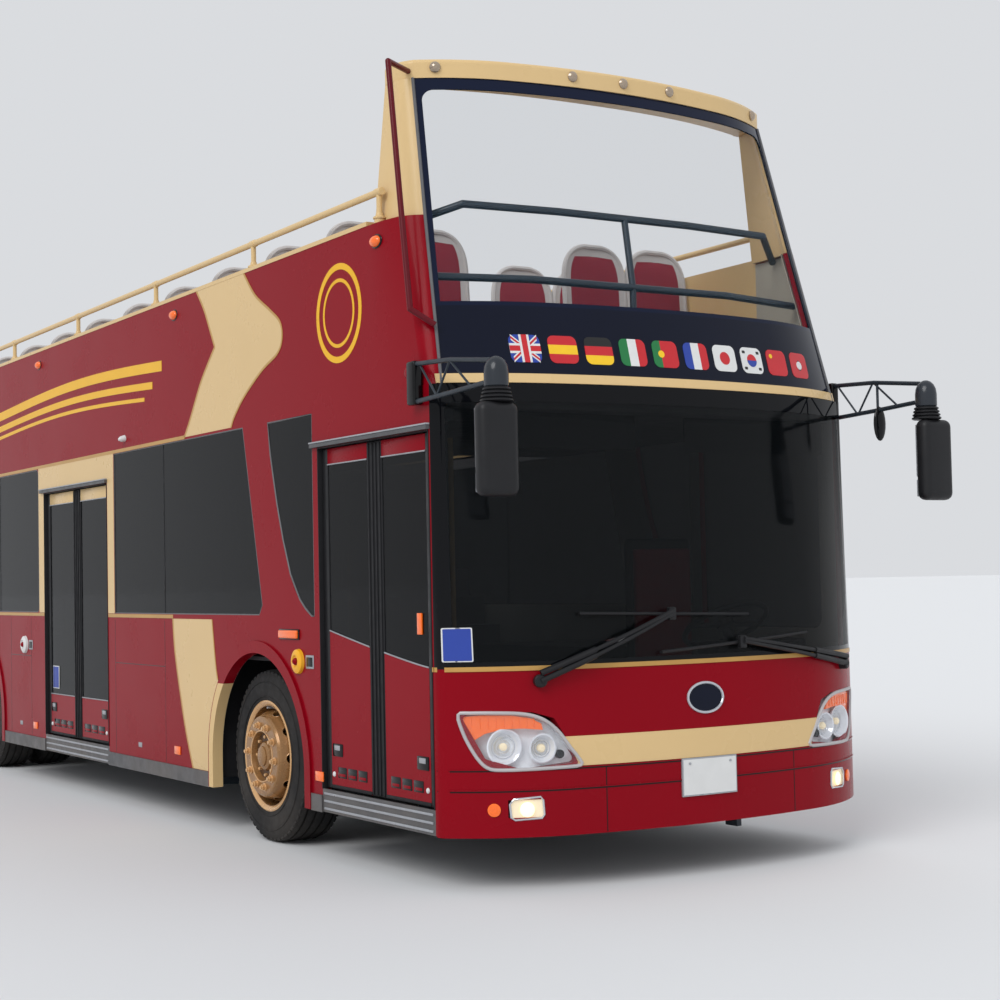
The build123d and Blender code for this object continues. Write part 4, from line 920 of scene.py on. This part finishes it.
def tyre_mesh(piece, x0, x1, cy):
    """Tyre between x0 and x1 with four grooves, and blocks round both shoulders."""
    w = x1 - x0
    prof = list(SIDEWALL)
    for k in range(4):
        c = w * (0.5 + (k - 1.5) * 0.2)
        prof += [(c - 0.0075, TYRE_R - 0.0006), (c - 0.0055, TYRE_R - 0.012),
                 (c + 0.0055, TYRE_R - 0.012), (c + 0.0075, TYRE_R - 0.0006)]
    prof += [(w - a, r) for a, r in reversed(SIDEWALL)]
    piece.lathe(prof, tyre, (x0, cy, WHEEL_Z), (1, 0, 0), 72, closed=True)
    for k in range(60):
        turn = Matrix.Translation((0, cy, WHEEL_Z)) @ Matrix.Rotation(2 * math.pi * k / 60, 4, "X")
        for xa, xb in ((x0 + 0.016, x0 + 0.044), (x1 - 0.044, x1 - 0.016)):
            piece.box((xa, xb), (-0.016, 0.016), (0.440, 0.4625), tyre, 0.003, 1, m=turn)


def wheel_ring(x, cy, r, count, turn=0.0):
    """Places spaced evenly round a wheel at radius r, each with its angle."""
    for k in range(count):
        t = 2 * math.pi * k / count + turn
        yield Vector((x, cy + r * math.cos(t), WHEEL_Z + r * math.sin(t))), t


for s, side in ((-1, "right"), (1, "left")):
    out = (s, 0, 0)
    for end, cy, body, node, tyres in (("front", FRONT_AXLE, "wheel_front_", "tyre_front_", FRONT_TYRE),
                                       ("rear", REAR_AXLE, "wheels_rear_", "tyres_rear_", REAR_TYRES)):
        p = Piece("tyre_detail_%s_%s" % (end, side))
        for a, b in tyres:
            tyre_mesh(p, *sorted((s * a, s * b)), cy)
        for r in (0.325, 0.405):  # raised rings on the outer side
            p.lathe([(0, r - 0.003), (0.0022, r), (0, r + 0.003)], tyre,
                    (s * (tyres[-1][1] - 0.0005), cy, WHEEL_Z), out, 72, closed=True)
        p.done(body + side[0], replaces=(node + side,), slot="tyre_rubber")

    # front wheel: rim edge, ten nuts on washers, hub flange with bolts, hub cap, hand hole rings and valve. The lighter
    # gold of the rim edge, nuts, bolts and hub ring is painted highlight, the dark brown of the flange painted shade in
    # the recess
    cy, hub = FRONT_AXLE, (0, FRONT_AXLE, WHEEL_Z)
    p = Piece("wheel_dress_front_" + side)
    p.lathe([(1.170, 0.274), (1.182, 0.275), (1.192, 0.284), (1.196, 0.296), (1.192, 0.303), (1.184, 0.303)],
            gold_painted_highlight, hub, out, 64, closed=True)
    for c, t in wheel_ring(s * 1.227, cy, 0.169, 10, 0.1):
        p.lathe([(0, 0), (0, 0.023), (0.005, 0.023), (0.006, 0.0185), (0.006, 0)], gold_painted_highlight, c, out, 24)
        p.lathe([(0.005, 0.0), (0.005, 0.0175), (0.020, 0.017), (0.022, 0.012), (0.029, 0.011), (0.031, 0)],
                gold_painted_highlight, c, out, 6)
    p.lathe([(1.194, 0.080), (1.1985, 0.083), (1.1985, 0.127), (1.194, 0.129)], hub_painted_shade, hub, out, 48, closed=True)
    for c, t in wheel_ring(s * 1.195, cy, 0.104, 8):
        p.lathe([(0, 0), (0, 0.010), (0.016, 0.010), (0.019, 0.006), (0.019, 0)], gold_painted_highlight, c, out, 6)
    p.lathe([(1.220, 0), (1.220, 0.056), (1.229, 0.054), (1.235, 0.044), (1.238, 0.024), (1.239, 0)],
            rim, hub, out, 32)
    p.lathe([(1.226, 0.144), (1.231, 0.142), (1.231, 0.137), (1.226, 0.135)], gold_painted_highlight, hub, out, 48, closed=True)
    for c, t in wheel_ring(s * 1.1605, cy, 0.2417, 10):
        tilt = Vector((s * 0.342, 0.94 * math.cos(t), 0.94 * math.sin(t)))
        p.lathe([(-0.005, 0.030), (0.001, 0.032), (0.003, 0.029), (0.001, 0.0265), (-0.008, 0.0265)],
                rim, c, tilt, 24, closed=True)
    p.tube([(s * x, cy, WHEEL_Z + r) for x, r in ((1.13, 0.258), (1.165, 0.262), (1.19, 0.262))], 0.006, alu, n=8)
    p.done("wheel_front_" + side[0], slot="rim_gold")

    # rear wheels: rim edge, long nuts and hub bolts in the dish
    cy, hub = REAR_AXLE, (0, REAR_AXLE, WHEEL_Z)
    p = Piece("wheel_dress_rear_" + side)
    p.lathe([(1.165, 0.274), (1.178, 0.275), (1.187, 0.284), (1.191, 0.296), (1.187, 0.303), (1.178, 0.303)],
            rim, hub, out, 64, closed=True)
    for c, t in wheel_ring(s * 0.924, cy, 0.155, 10, 0.1):
        p.lathe([(0, 0), (0, 0.021), (0.006, 0.021), (0.007, 0.017), (0.05, 0.0165), (0.054, 0.013), (0.056, 0)],
                rim, c, out, 6)
    for c, t in wheel_ring(s * 1.05, cy, 0.07, 8):
        p.lathe([(0, 0), (0, 0.01), (0.012, 0.01), (0.014, 0.006), (0.014, 0)], rim, c, out, 6)
    p.done("wheels_rear_" + side[0], slot="rim_gold")

# Door leaves: frame, rubber edges, glass, locks and inner rail
LEAF_X = -1.230  # outer face of the leaves
LEAF_FOOT, GLASS_TOP = 0.374, 2.01
PIN_X = -1.175  # pins of the arms and rollers
SLOTS = 3


def leaf_box(piece, front, back, ys, zs, mat, bevel):
    """Box from front before the leaf's outer face to back behind it."""
    piece.box((LEAF_X - front, LEAF_X + back), ys, zs, mat, bevel)


def glass_foot(y, is_front):
    """Height of the glass's lower edge, which slopes in the front door."""
    return 1.01 + 0.158 * max(0.0, min(1.0, (y - 0.38) / 1.02)) ** 1.15 if is_front else 0.66


for n in LEAVES:
    y0, y1 = DOORS[n[:-2]]
    trail, d = (y0 + 0.010, 1) if n.endswith("_a") else (y1 - 0.010, -1)
    length = (y1 - y0) / 2 - 0.013
    lead = trail + d * length
    is_front = n.startswith("front")
    p = Piece("door_dress_" + n)
    # rubber at the leading edge, dark stile at the trailing edge
    leaf_box(p, 0, 0.030, span(lead - d * 0.074, lead), (0.372, 2.092), rubber, 0.006)
    leaf_box(p, 0.006, 0.002, span(lead - d * 0.062, lead - d * 0.046), (0.38, 2.085), rubber, 0.003)
    leaf_box(p, 0.006, 0.002, span(lead - d * 0.022, lead - d * 0.008), (0.38, 2.085), rubber, 0.003)
    leaf_box(p, 0, 0.030, span(trail, trail + d * 0.062), (0.372, 2.092), plastic, 0.005)
    # glass over a red panel, with thin metal edges
    g0, g1 = trail + d * 0.060, lead - d * 0.072
    cols = 13
    ys = [g0 + (g1 - g0) * k / (cols - 1) for k in range(cols)]
    nor = [[(-1, 0, 0)] * cols] * 2
    top = [(LEAF_X + 0.006, Y(y), GLASS_TOP + 0.02) for y in ys]
    bottom = [(LEAF_X + 0.006, Y(y), glass_foot(y, is_front) - 0.01) for y in ys]
    p.sheet([top, bottom], nor, 0.001, 0.005, door_glass)
    edge = [(LEAF_X, Y(y), glass_foot(y, is_front)) for y in ys]
    foot = [(LEAF_X, Y(y), LEAF_FOOT) for y in ys]
    p.sheet([edge, foot], nor, 0.0, 0.029, red)
    p.tube(edge, 0.004, alu, n=6)
    leaf_box(p, 0, 0.029, span(g0, g1), (GLASS_TOP, 2.091), red if is_front else cream, 0.003)
    p.tube([(LEAF_X, Y(g0), GLASS_TOP), (LEAF_X, Y(g1), GLASS_TOP)], 0.004, alu, n=6)
    # lock, knob and row of slots
    lock = Y(trail + d * 0.130)
    leaf_box(p, 0.005, 0.01, around(lock, 0.055), (0.535, 0.600), gloss_black, 0.006)
    leaf_box(p, 0.007, 0.01, around(lock, 0.030), (0.566, 0.592), alu, 0.003)
    p.ball((LEAF_X - 0.001, Y(trail + d * 0.088), 0.445), 0.014, white, (0.6, 1, 1), 12)
    room = abs(g1 - g0) - 0.10
    for k in range(SLOTS):
        y = g0 + d * (0.07 + room * k / SLOTS)
        leaf_box(p, 0.002, 0.004, span(y, y + d * (room / SLOTS - 0.018)), (0.430, 0.484), gloss_black, 0.002)
        leaf_box(p, 0.0035, 0.004, span(y + d * 0.012, y + d * (room / SLOTS - 0.03)), (0.438, 0.452), red, 0.001)
    leaf_box(p, 0.004, 0.02, span(g0, g1), (LEAF_FOOT, 0.392), rubber, 0.004)
    # brackets and pins of the arms, roller pin, and grab rail on the inner face
    pin = Y(trail + d * (length / 2 - 0.0275))
    for z0, z1, q0, q1 in ((0.376, 0.430, 0.346, 0.376), (2.050, 2.092, 2.092, 2.118)):
        p.box((LEAF_X + 0.028, -1.163), around(pin, 0.015), (z0, z1), steel, 0.003)
        p.cyl((PIN_X, pin, q0), (PIN_X, pin, q1), 0.008, steel, 14)
    p.box((LEAF_X + 0.028, -1.167), span(lead - d * 0.040, lead - d * 0.010), (2.050, 2.085), steel, 0.003)
    roller = Y(lead - d * 0.025)
    p.cyl((PIN_X, roller, 2.05), (PIN_X, roller, 2.134), 0.005, steel, 12)
    rail = (g0 + g1) / 2 - d * 0.10 - (0.04 if n == "front_a" else 0.0)
    p.tube([(LEAF_X + x, Y(rail), z) for x, z in ((0.026, 0.95), (0.052, 0.965), (0.052, 1.545), (0.026, 1.56))],
           0.009, yellow, n=10)
    if n == "mid_b":
        leaf_box(p, 0.001, 0.004, span(trail - 0.105, trail - 0.235), (0.70, 0.86), white, 0.0005)
        leaf_box(p, 0.002, 0.004, span(trail - 0.111, trail - 0.229), (0.706, 0.854), blue, 0.0005)
    if n == "front_a":
        leaf_box(p, 0.003, 0.006, span(0.44, 0.485), (1.16, 1.26), amber, 0.003)
    p.done("leaf_" + n, replaces=("door_leaf_" + n,), slot="red")

# Frames, rain strips and thresholds round the doors
surrounds = Piece("door_surrounds")
for y0, y1 in DOORS.values():
    for a, b in ((y0, y0 + 0.006), (y1 - 0.006, y1)):
        surrounds.box((-1.2545, -1.205), span(a, b), (0.366, 2.1), rubber, 0.002)
    surrounds.box((-1.274, -1.248), (Y(y0) - 0.012, Y(y1) + 0.062), (2.1235, 2.132), alu, 0.003)
    surrounds.box((-1.2545, -1.205), span(y0, y1), (2.0955, 2.101), rubber, 0.002)
    for z in (0.262, 0.300, 0.338):
        surrounds.box((-1.2545, -1.2485), (Y(y0) + 0.02, Y(y1) - 0.02), (z, z + 0.012), alu, 0.002)
surrounds.done()

# Valves, lamps and lids on the door side
fittings = Piece("side_fittings")
fittings.box((-1.256, -1.249), span(1.71, 1.955), (1.115, 1.170), gloss_black, 0.003)
fittings.box((-1.268, -1.250), span(1.72, 1.945), (1.121, 1.164), amber, 0.008, 3)
for y, z, m in ((1.724, 1.003, yellow), (6.444, 1.0, white)):
    fittings.lathe([(0, 0), (0, 0.066), (0.016, 0.062), (0.026, 0.044), (0.026, 0.034), (0.018, 0.028), (0.018, 0)], m,
                   (-1.25, Y(y), z), (-1, 0, 0), 28)
    fittings.ball((-1.268, Y(y), z), 0.020, red, n=12)
    fittings.box((-1.2535, -1.249), (Y(y) - 0.180, Y(y) - 0.085), around(z, 0.035), alu, 0.003)
    fittings.box((-1.2545, -1.249), (Y(y) - 0.170, Y(y) - 0.095), around(z, 0.025), gloss_black, 0.003)
fittings.lathe([(0, 0), (0, 0.022), (0.03, 0.018), (0.045, 0.008), (0.046, 0)], white, (-1.25, Y(4.278), 2.371),
               (-1, 0, -0.2), 20)
# skirt lids: thin seams and latches
for s in (-1, 1):
    ys = (3.62, 4.5, 6.3, 6.8, 8.5, 9.4, 10.2) if s < 0 else (1.5, 3.2, 4.2, 5.2, 6.2, 8.5, 9.4, 10.2)
    for y in ys:
        fittings.box((s * 1.2490, s * 1.2506), around(Y(y), 0.002), (0.34, 1.20), gloss_black)
    for a, b in zip(ys, ys[1:]):
        if b - a < 1.3:
            fittings.box((s * 1.2490, s * 1.2506), span(a, b), (0.918, 0.922), gloss_black)
            fittings.box((s * 1.249, s * 1.253), around(Y((a + b) / 2), 0.03), (0.40, 0.43), alu, 0.002)
fittings.done()

# Mirrors: rounded heads with glass, ribbed necks, dome caps, tube arms
mirrors = Piece("mirror_details")
for s in (-1, 1):
    head = Matrix.Translation((s * 1.29, Y(-0.3455), 1.965))
    mirrors.box((-0.098, 0.098), (-0.043, 0.045), (-0.205, 0.200), plastic, 0.038, 5, m=head)
    mirrors.box((-0.082, 0.082), (0.0405, 0.0465), (-0.085, 0.175), chrome, 0.004, m=head)
    mirrors.box((-0.082, 0.082), (0.0405, 0.0465), (-0.185, -0.1), chrome, 0.004, m=head)
    c = Vector((s * 1.27, Y(-0.32), 0))
    prof = [(2.160, 0.0)]
    for k in range(4):
        z, r = 2.166 + k * 0.0165, 0.073 - k * 0.004
        prof += [(z, r - 0.007), (z + 0.004, r), (z + 0.010, r), (z + 0.014, r - 0.007)]
    prof += [(2.236, 0.045), (2.236, 0.0)]
    mirrors.lathe(prof, plastic, c, (0, 0, 1), 32)
    mirrors.lathe([(2.232, 0.0), (2.232, 0.050), (2.236, 0.054), (2.295, 0.054), (2.322, 0.050), (2.343, 0.040),
                   (2.357, 0.026), (2.3635, 0.012), (2.365, 0.0)], cap_grey, c, (0, 0, 1), 32)
    mirrors.box((s * 1.252, s * 1.303), span(0.348, 0.422), (2.218, 2.422), gloss_black, 0.012, 3)
    mirrors.ball((s * 1.268, Y(0.43), 2.375), 0.04, red, (0.7, 1.3, 0.9), 16)
    for z0, z1, z2, y2 in ((2.408, 2.392, 2.352, -0.28), (2.232, 2.245, 2.262, -0.285)):
        mirrors.tube([(s * 1.283, Y(0.385), z0), (s * 1.276, Y(0.05), z1), (s * 1.27, Y(y2), z2)], 0.0115, steel, n=12)
    for y0, z0, y1, z1 in ((0.33, 2.402, 0.18, 2.238), (0.18, 2.238, 0.06, 2.392), (0.06, 2.392, -0.12, 2.252)):
        mirrors.tube([(s * 1.279, Y(y0), z0), (s * 1.275, Y(y1), z1)], 0.0055, steel, n=8)
# small look-down mirror hung from the driver's side arm
mirrors.ball((1.276, Y(0.02), 2.175), 0.09, gloss_black, (0.45, 0.18, 1.0), 20)
mirrors.tube([(1.276, Y(0.03), 2.392), (1.276, Y(0.03), 2.245), (1.276, Y(0.02), 2.20)], 0.007, steel, n=8)
mirrors.done(replaces=("mirrors",), slot="black_plastic")


# Seats: moulded shells with rolled edges, padded insets
SEAT_W, SEAT_Z, SEAT_X = 0.41, 0.40, 0.745  # width, height over the floor, middle of a pair
LOW_FLOOR, BOX_TOP = 0.335, 0.68  # lower floor, and the steps over the rear wheels
STAIR_WELL = (2.96, 4.81)


def seat_half(t):
    """Half width of the back at share t of its height: straight sides under a round top."""
    return SEAT_W / 2 if t < 0.62 else (SEAT_W / 2) * max(0.0, 1 - ((t - 0.62) / 0.40) ** 2.7) ** (1 / 2.7)


def crown(u, v):
    """Height of a padded inset at u and v, which run from -1 to 1."""
    return 0.014 * (1 - u ** 4) * (1 - v ** 4)


def slab(piece, rows, cols, point, normal, out, depth, mat):
    """Bent slab through point(row, u), with u from -1 to 1 across."""
    grid = [[point(k, -1 + 2 * i / (cols - 1)) for i in range(cols)] for k in range(rows)]
    piece.sheet(grid, [[normal] * cols] * rows, out, depth, mat)
    return grid


def shell_seat(piece, pads, x, y, floor):
    z = floor + SEAT_Z

    def back(k, u):
        t = 0.62 * k / 4 if k < 4 else 0.62 + 0.395 * math.sin(math.pi / 2 * (k - 4) / 11)
        lean, cup = 0.165 + 0.02 * t, 0.03 * (u * u) * (1 - 0.6 * t)
        return x + max(seat_half(t), 0.02) * u, Y(y) + lean - cup, z + 0.035 + 0.58 * t

    def pan(k, u):
        t = k / 6
        return (x + (SEAT_W / 2) * u, Y(y) - 0.21 + 0.37 * t,
                z + 0.045 + 0.022 * u * u - 0.02 * math.sin(math.pi * t) - (0.02 if k == 0 else 0))

    def back_pad(k, u):
        t = 0.08 + 0.13 * k if k < 5 else 0.60 + 0.32 * math.sin(math.pi / 2 * (k - 4) / 6)
        half = seat_half(min(t * 1.02, 1.0)) * 0.80 if k < 10 else 0.02
        return (x + half * u, Y(y) + 0.165 + 0.02 * t - 0.03 * (u * 0.8) ** 2 * (1 - 0.6 * t) - 0.022
                - crown(u, 2 * k / 10 - 1), z + 0.035 + 0.58 * t)

    def pan_pad(k, u):
        t = 0.06 + 0.88 * k / 6
        return (x + (SEAT_W / 2) * 0.82 * u, Y(y) - 0.21 + 0.37 * t, z + 0.046 + 0.022 * (u * 0.82) ** 2
                - 0.02 * math.sin(math.pi * t) + crown(u, 2 * k / 6 - 1))

    grid = slab(piece, 16, 9, back, (0, 1, 0), 0.0, 0.022, shell)
    slab(piece, 7, 9, pan, (0, 0, 1), 0.0, 0.025, shell)
    edge = [row[0] for row in grid] + [row[-1] for row in reversed(grid)]
    piece.tube([Vector(q) + Vector((0, -0.011, 0)) for q in edge], 0.016, shell, n=8)
    slab(pads, 11, 7, back_pad, (0, -1, 0), 0.002, 0.006, pad)
    slab(pads, 7, 7, pan_pad, (0, 0, 1), 0.002, 0.006, pad)


upper_seats = []
for i in range(12):
    y = 1.35 + i * 0.76
    upper_seats.append((-SEAT_X, y, DECK))
    if not STAIR_WELL[0] - 0.32 < y < STAIR_WELL[1] + 0.32:
        upper_seats.append((SEAT_X, y, DECK))
lower_seats = [(s * SEAT_X, y, LOW_FLOOR) for s, y in ((-1, 3.2), (-1, 3.96), (1, 5.5), (1, 6.08))]
lower_seats += [(s * SEAT_X, y, BOX_TOP) for s in (1, -1) for y in (6.7, 8.56)]
for name, seats in (("upper", upper_seats), ("lower", lower_seats)):
    shells, pads = Piece("seats_detail_" + name), Piece("seat_insets_" + name)
    for x, y, floor in seats:
        for o in (-0.217, 0.217):
            shell_seat(shells, pads, x + o, y, floor)
        shells.box(around(x, 0.02), around(Y(y), 0.1), (floor, floor + 0.41), steel, 0.006)
        shells.box(around(x, 0.4), around(Y(y), 0.12), (floor + 0.40, floor + 0.425), steel, 0.006)
        shells.box(around(x, 0.06), around(Y(y), 0.13), (floor, floor + 0.012), steel, 0.004)
    if name == "lower":
        # driver's seat
        shells.box((0.64, 0.70), span(0.90, 0.96), (0.56, 0.84), steel, 0.01)
        shells.box((0.45, 0.89), span(0.70, 1.18), (0.83, 0.90), plastic, 0.03, 4)
        shells.box((0.455, 0.885), span(1.13, 1.19), (0.90, 1.62), plastic, 0.028, 4)
        pads.box((0.47, 0.87), span(0.71, 1.12), (0.895, 0.935), pad, 0.018, 4)
        pads.box((0.48, 0.86), span(1.10, 1.135), (0.95, 1.56), pad, 0.016, 4)
    shells.done(replaces=("seats_" + name,), slot="seat_shell")
    ob = pads.done(sharp=70)

# Pale lining inside the upper front corners: heights and curves in millimetres
LINING = ((2.33, ((1250, 880), (1249.5, 600), (1246, 360), (1228, 311), (1192, 287))),
          (3.138, ((1250, 880), (1244, 740), (1222, 610), (1185, 553), (1131, 514))))
lining = Mat("corner_lining", srgb(168, 162, 146), 0.5)
lining.vary(4.0, 0.12).bump(120, 0.03)
linings = Piece("corner_linings")
for s in (-1, 1):
    curves = [[Vector((s * x / 1000, Y(y / 1000), z)) for x, y in smooth(pts, 6)] for z, pts in LINING]
    nor = []
    for c in curves:
        row = []
        for k in range(len(c)):
            t = c[min(k + 1, len(c) - 1)] - c[max(k - 1, 0)]
            n = Vector((-t.y, t.x, 0)).normalized()
            row.append(n if n.x * s < 0 or (abs(n.x) < 0.5 and n.y > 0) else -n)
        nor.append(row)
    linings.sheet(curves, nor, 0.0535, -0.0503, lining)
linings.done()

# Smooth panel under the hood
HOOD_Z = 3.85
hood = Piece("hood_lining")
xs = [-1.085 + 2.17 * i / 48 for i in range(49)]
front_row = [(x, nose_y(x, 3.84, HIGH) + 0.03, HOOD_Z) for x in xs]
back_row = [(x, Y(0.70 + 0.175 * (abs(x) / 1.09) ** 2.4), HOOD_Z) for x in xs]
hood.sheet([front_row, back_row], [[(0, 0, -1)] * len(xs)] * 2, 0.004, 0.0, cream)
hood.done()

# Deck rails: feet of the posts and tees over them
RAIL_X, POST_STEP = 1.225, 1.484
rails = Piece("rail_fittings")
for s in (-1, 1):
    for i in range(7):
        y = Y(0.795 + i * POST_STEP)
        rails.lathe([(0, 0), (0, 0.032), (0.008, 0.032), (0.014, 0.02), (0.03, 0.0165), (0.03, 0)], cream,
                    (s * RAIL_X, y, 3.165), (0, 0, 1), 20)
        rails.cyl((s * RAIL_X, y - 0.03, 3.297), (s * RAIL_X, y + 0.03, 3.297), 0.0205, cream, 16, bevel=0.003)
rails.done()

# Rear: louvred engine door, plate, tail lamps, window seal, gold lines, bumper edge
rear = Piece("rear_details")
RY = Y(10.86)  # outer face of the rear wall
for k in range(13):
    z = 0.47 + k * 0.036
    rear.box((-0.62, 0.62), (RY - 0.002, RY + 0.012), (z, z + 0.022), gloss_black, 0.004)
for x0, x1, z0, z1 in ((-0.72, -0.716, 0.40, 1.30), (0.716, 0.72, 0.40, 1.30), (-0.72, 0.72, 1.296, 1.30),
                       (-0.72, 0.72, 0.40, 0.404)):
    rear.box((x0, x1), (RY - 0.001, RY + 0.0012), (z0, z1), gloss_black)
rear.box((-0.155, 0.155), (RY, RY + 0.010), (1.02, 1.185), white, 0.004)
rear.box((-0.165, 0.165), (RY, RY + 0.006), (1.01, 1.195), alu, 0.004)
for s in (-1, 1):
    for z, m in ((0.60, amber), (0.72, red_lens), (0.84, red_lens)):
        place = (s * 1.02, RY, z)
        rear.lathe([(0, 0), (0, 0.056), (0.02, 0.056), (0.024, 0.05), (0.024, 0)], chrome, place, (0, 1, 0), 32)
        rear.lathe([(0.008, 0), (0.008, 0.05), (0.0245, 0.048), (0.0249, 0.02), (0.025, 0)], m, place, (0, 1, 0), 32)
    rear.lathe([(0, 0), (0, 0.03), (0.01, 0.028), (0.014, 0)], red_lens, (s * 0.95, RY, 3.02), (0, 1, 0), 24)
rear.tube([(x, RY - 0.004, z) for x, z in round_rect(0, 1.86, 1.6, 0.68, 0.01, 3)], 0.009, rubber, n=6, closed=True)
for z in (GOLD_LOW, GOLD_HIGH):
    rear.box((-1.10, 1.10), (RY, RY + 0.0022), around(z, 0.011), gold)
rear.box((-1.1, 1.1), (RY - 0.001, RY + 0.015), (0.25, 0.33), trim, 0.006)
rear.box((-1.1, 1.1), (RY - 0.001, RY + 0.0012), around(0.36, 0.002), gloss_black)
rear.done()

# Cab: binnacle with dials, dash trays and sun visors
cab = Piece("cab_details")
cab.box((0.38, 0.98), span(0.29, 0.46), (0.995, 1.075), plastic, 0.02, 3)
for x in (0.54, 0.66, 0.78):
    cab.lathe([(0, 0), (0, 0.04), (0.006, 0.04), (0.006, 0)], gloss_black, (x, Y(0.455), 1.04), (0, 1, 0.3), 24)
cab.box((-0.62, 0.2), span(0.19, 0.31), (0.895, 0.93), plastic, 0.015, 3)
cab.box((-0.93, -0.63), span(0.175, 0.227), (0.895, 0.92), plastic, 0.01, 3)
for s in (-1, 1):
    cab.box((s * 0.6 - 0.45, s * 0.6 + 0.45), span(0.215, 0.225), (2.02, 2.19), gloss_black, 0.004)
cab.done()

# Floor and light
bm = bmesh.new()
bmesh.ops.create_grid(bm, x_segments=1, y_segments=1, size=400)
me = bpy.data.meshes.new("ground")
bm.to_mesh(me)
bm.free()
pale = bpy.data.materials.new("ground_pale")
pale.use_nodes = True
pale.node_tree.nodes["Principled BSDF"].inputs["Base Color"].default_value = (0.68, 0.68, 0.68, 1)
pale.node_tree.nodes["Principled BSDF"].inputs["Roughness"].default_value = 0.9
me.materials.append(pale)
ground = bpy.data.objects.new("ground", me)
bpy.context.scene.collection.objects.link(ground)

world = bpy.data.worlds.new("studio")
bpy.context.scene.world = world
world.use_nodes = True
wn = world.node_tree
bg = wn.nodes["Background"]
bg.inputs[0].default_value = (0.90, 0.94, 1.0, 1)
bg.inputs[1].default_value = 0.78
lp = wn.nodes.new("ShaderNodeLightPath")


def backdrop(color, ray, below):
    """Puts a flat colour over the world light for one kind of ray."""
    b = wn.nodes.new("ShaderNodeBackground")
    b.inputs[0].default_value = color
    mix = wn.nodes.new("ShaderNodeMixShader")
    wn.links.new(lp.outputs[ray], mix.inputs[0])
    wn.links.new(below, mix.inputs[1])
    wn.links.new(b.outputs[0], mix.inputs[2])
    return mix.outputs[0]


PALE = (0.70, 0.715, 0.74, 1)  # the backdrop, which metal and glass show too
sky = bg.outputs[0]
for ray in ("Is Transmission Ray", "Is Glossy Ray", "Is Camera Ray"):
    sky = backdrop(PALE, ray, sky)
wn.links.new(sky, wn.nodes["World Output"].inputs[0])


def sun(name, loc, energy, angle, glossy):
    """Wide soft light from the direction of loc."""
    d = bpy.data.lights.new(name, "SUN")
    d.energy = energy
    d.angle = angle
    o = bpy.data.objects.new(name, d)
    o.rotation_mode = "QUATERNION"
    o.rotation_quaternion = (-Vector(loc)).to_track_quat("-Z", "Y")
    o.visible_glossy = glossy
    bpy.context.scene.collection.objects.link(o)


sun("key", (-14, -7, 13), 1.5, 0.6, True)
sun("front_fill", (4, -18, 7), 0.35, 1.0, False)
sun("back_fill", (12, 12, 9), 0.6, 1.0, False)

# Camera at the photograph's station
AZ, EL, ROLL = 0.5559853, 0.0448364, -0.0206183  # radians
FOCAL = 1794.8  # pixels on a picture 1000 wide
STATION = (-5.3055, Y(-6.8248), 1.4029)
fwd = Vector((math.sin(AZ) * math.cos(EL), math.cos(AZ) * math.cos(EL), math.sin(EL)))
right = Vector((math.cos(AZ), -math.sin(AZ), 0))
up = right.cross(fwd)
r2 = right * math.cos(ROLL) + up * math.sin(ROLL)  # right and up, rolled
u2 = up * math.cos(ROLL) - right * math.sin(ROLL)
cam_data = bpy.data.cameras.new("camera")
cam_data.lens = FOCAL * 36 / 1000
cam_data.sensor_width = 36
cam_data.clip_end = 2000
cam = bpy.data.objects.new("camera", cam_data)
cam.matrix_world = Matrix((*((r2[i], u2[i], -fwd[i], STATION[i]) for i in range(3)), (0, 0, 0, 1)))
bpy.context.scene.collection.objects.link(cam)
bpy.context.scene.camera = cam
bpy.context.scene.view_settings.view_transform = "Standard"
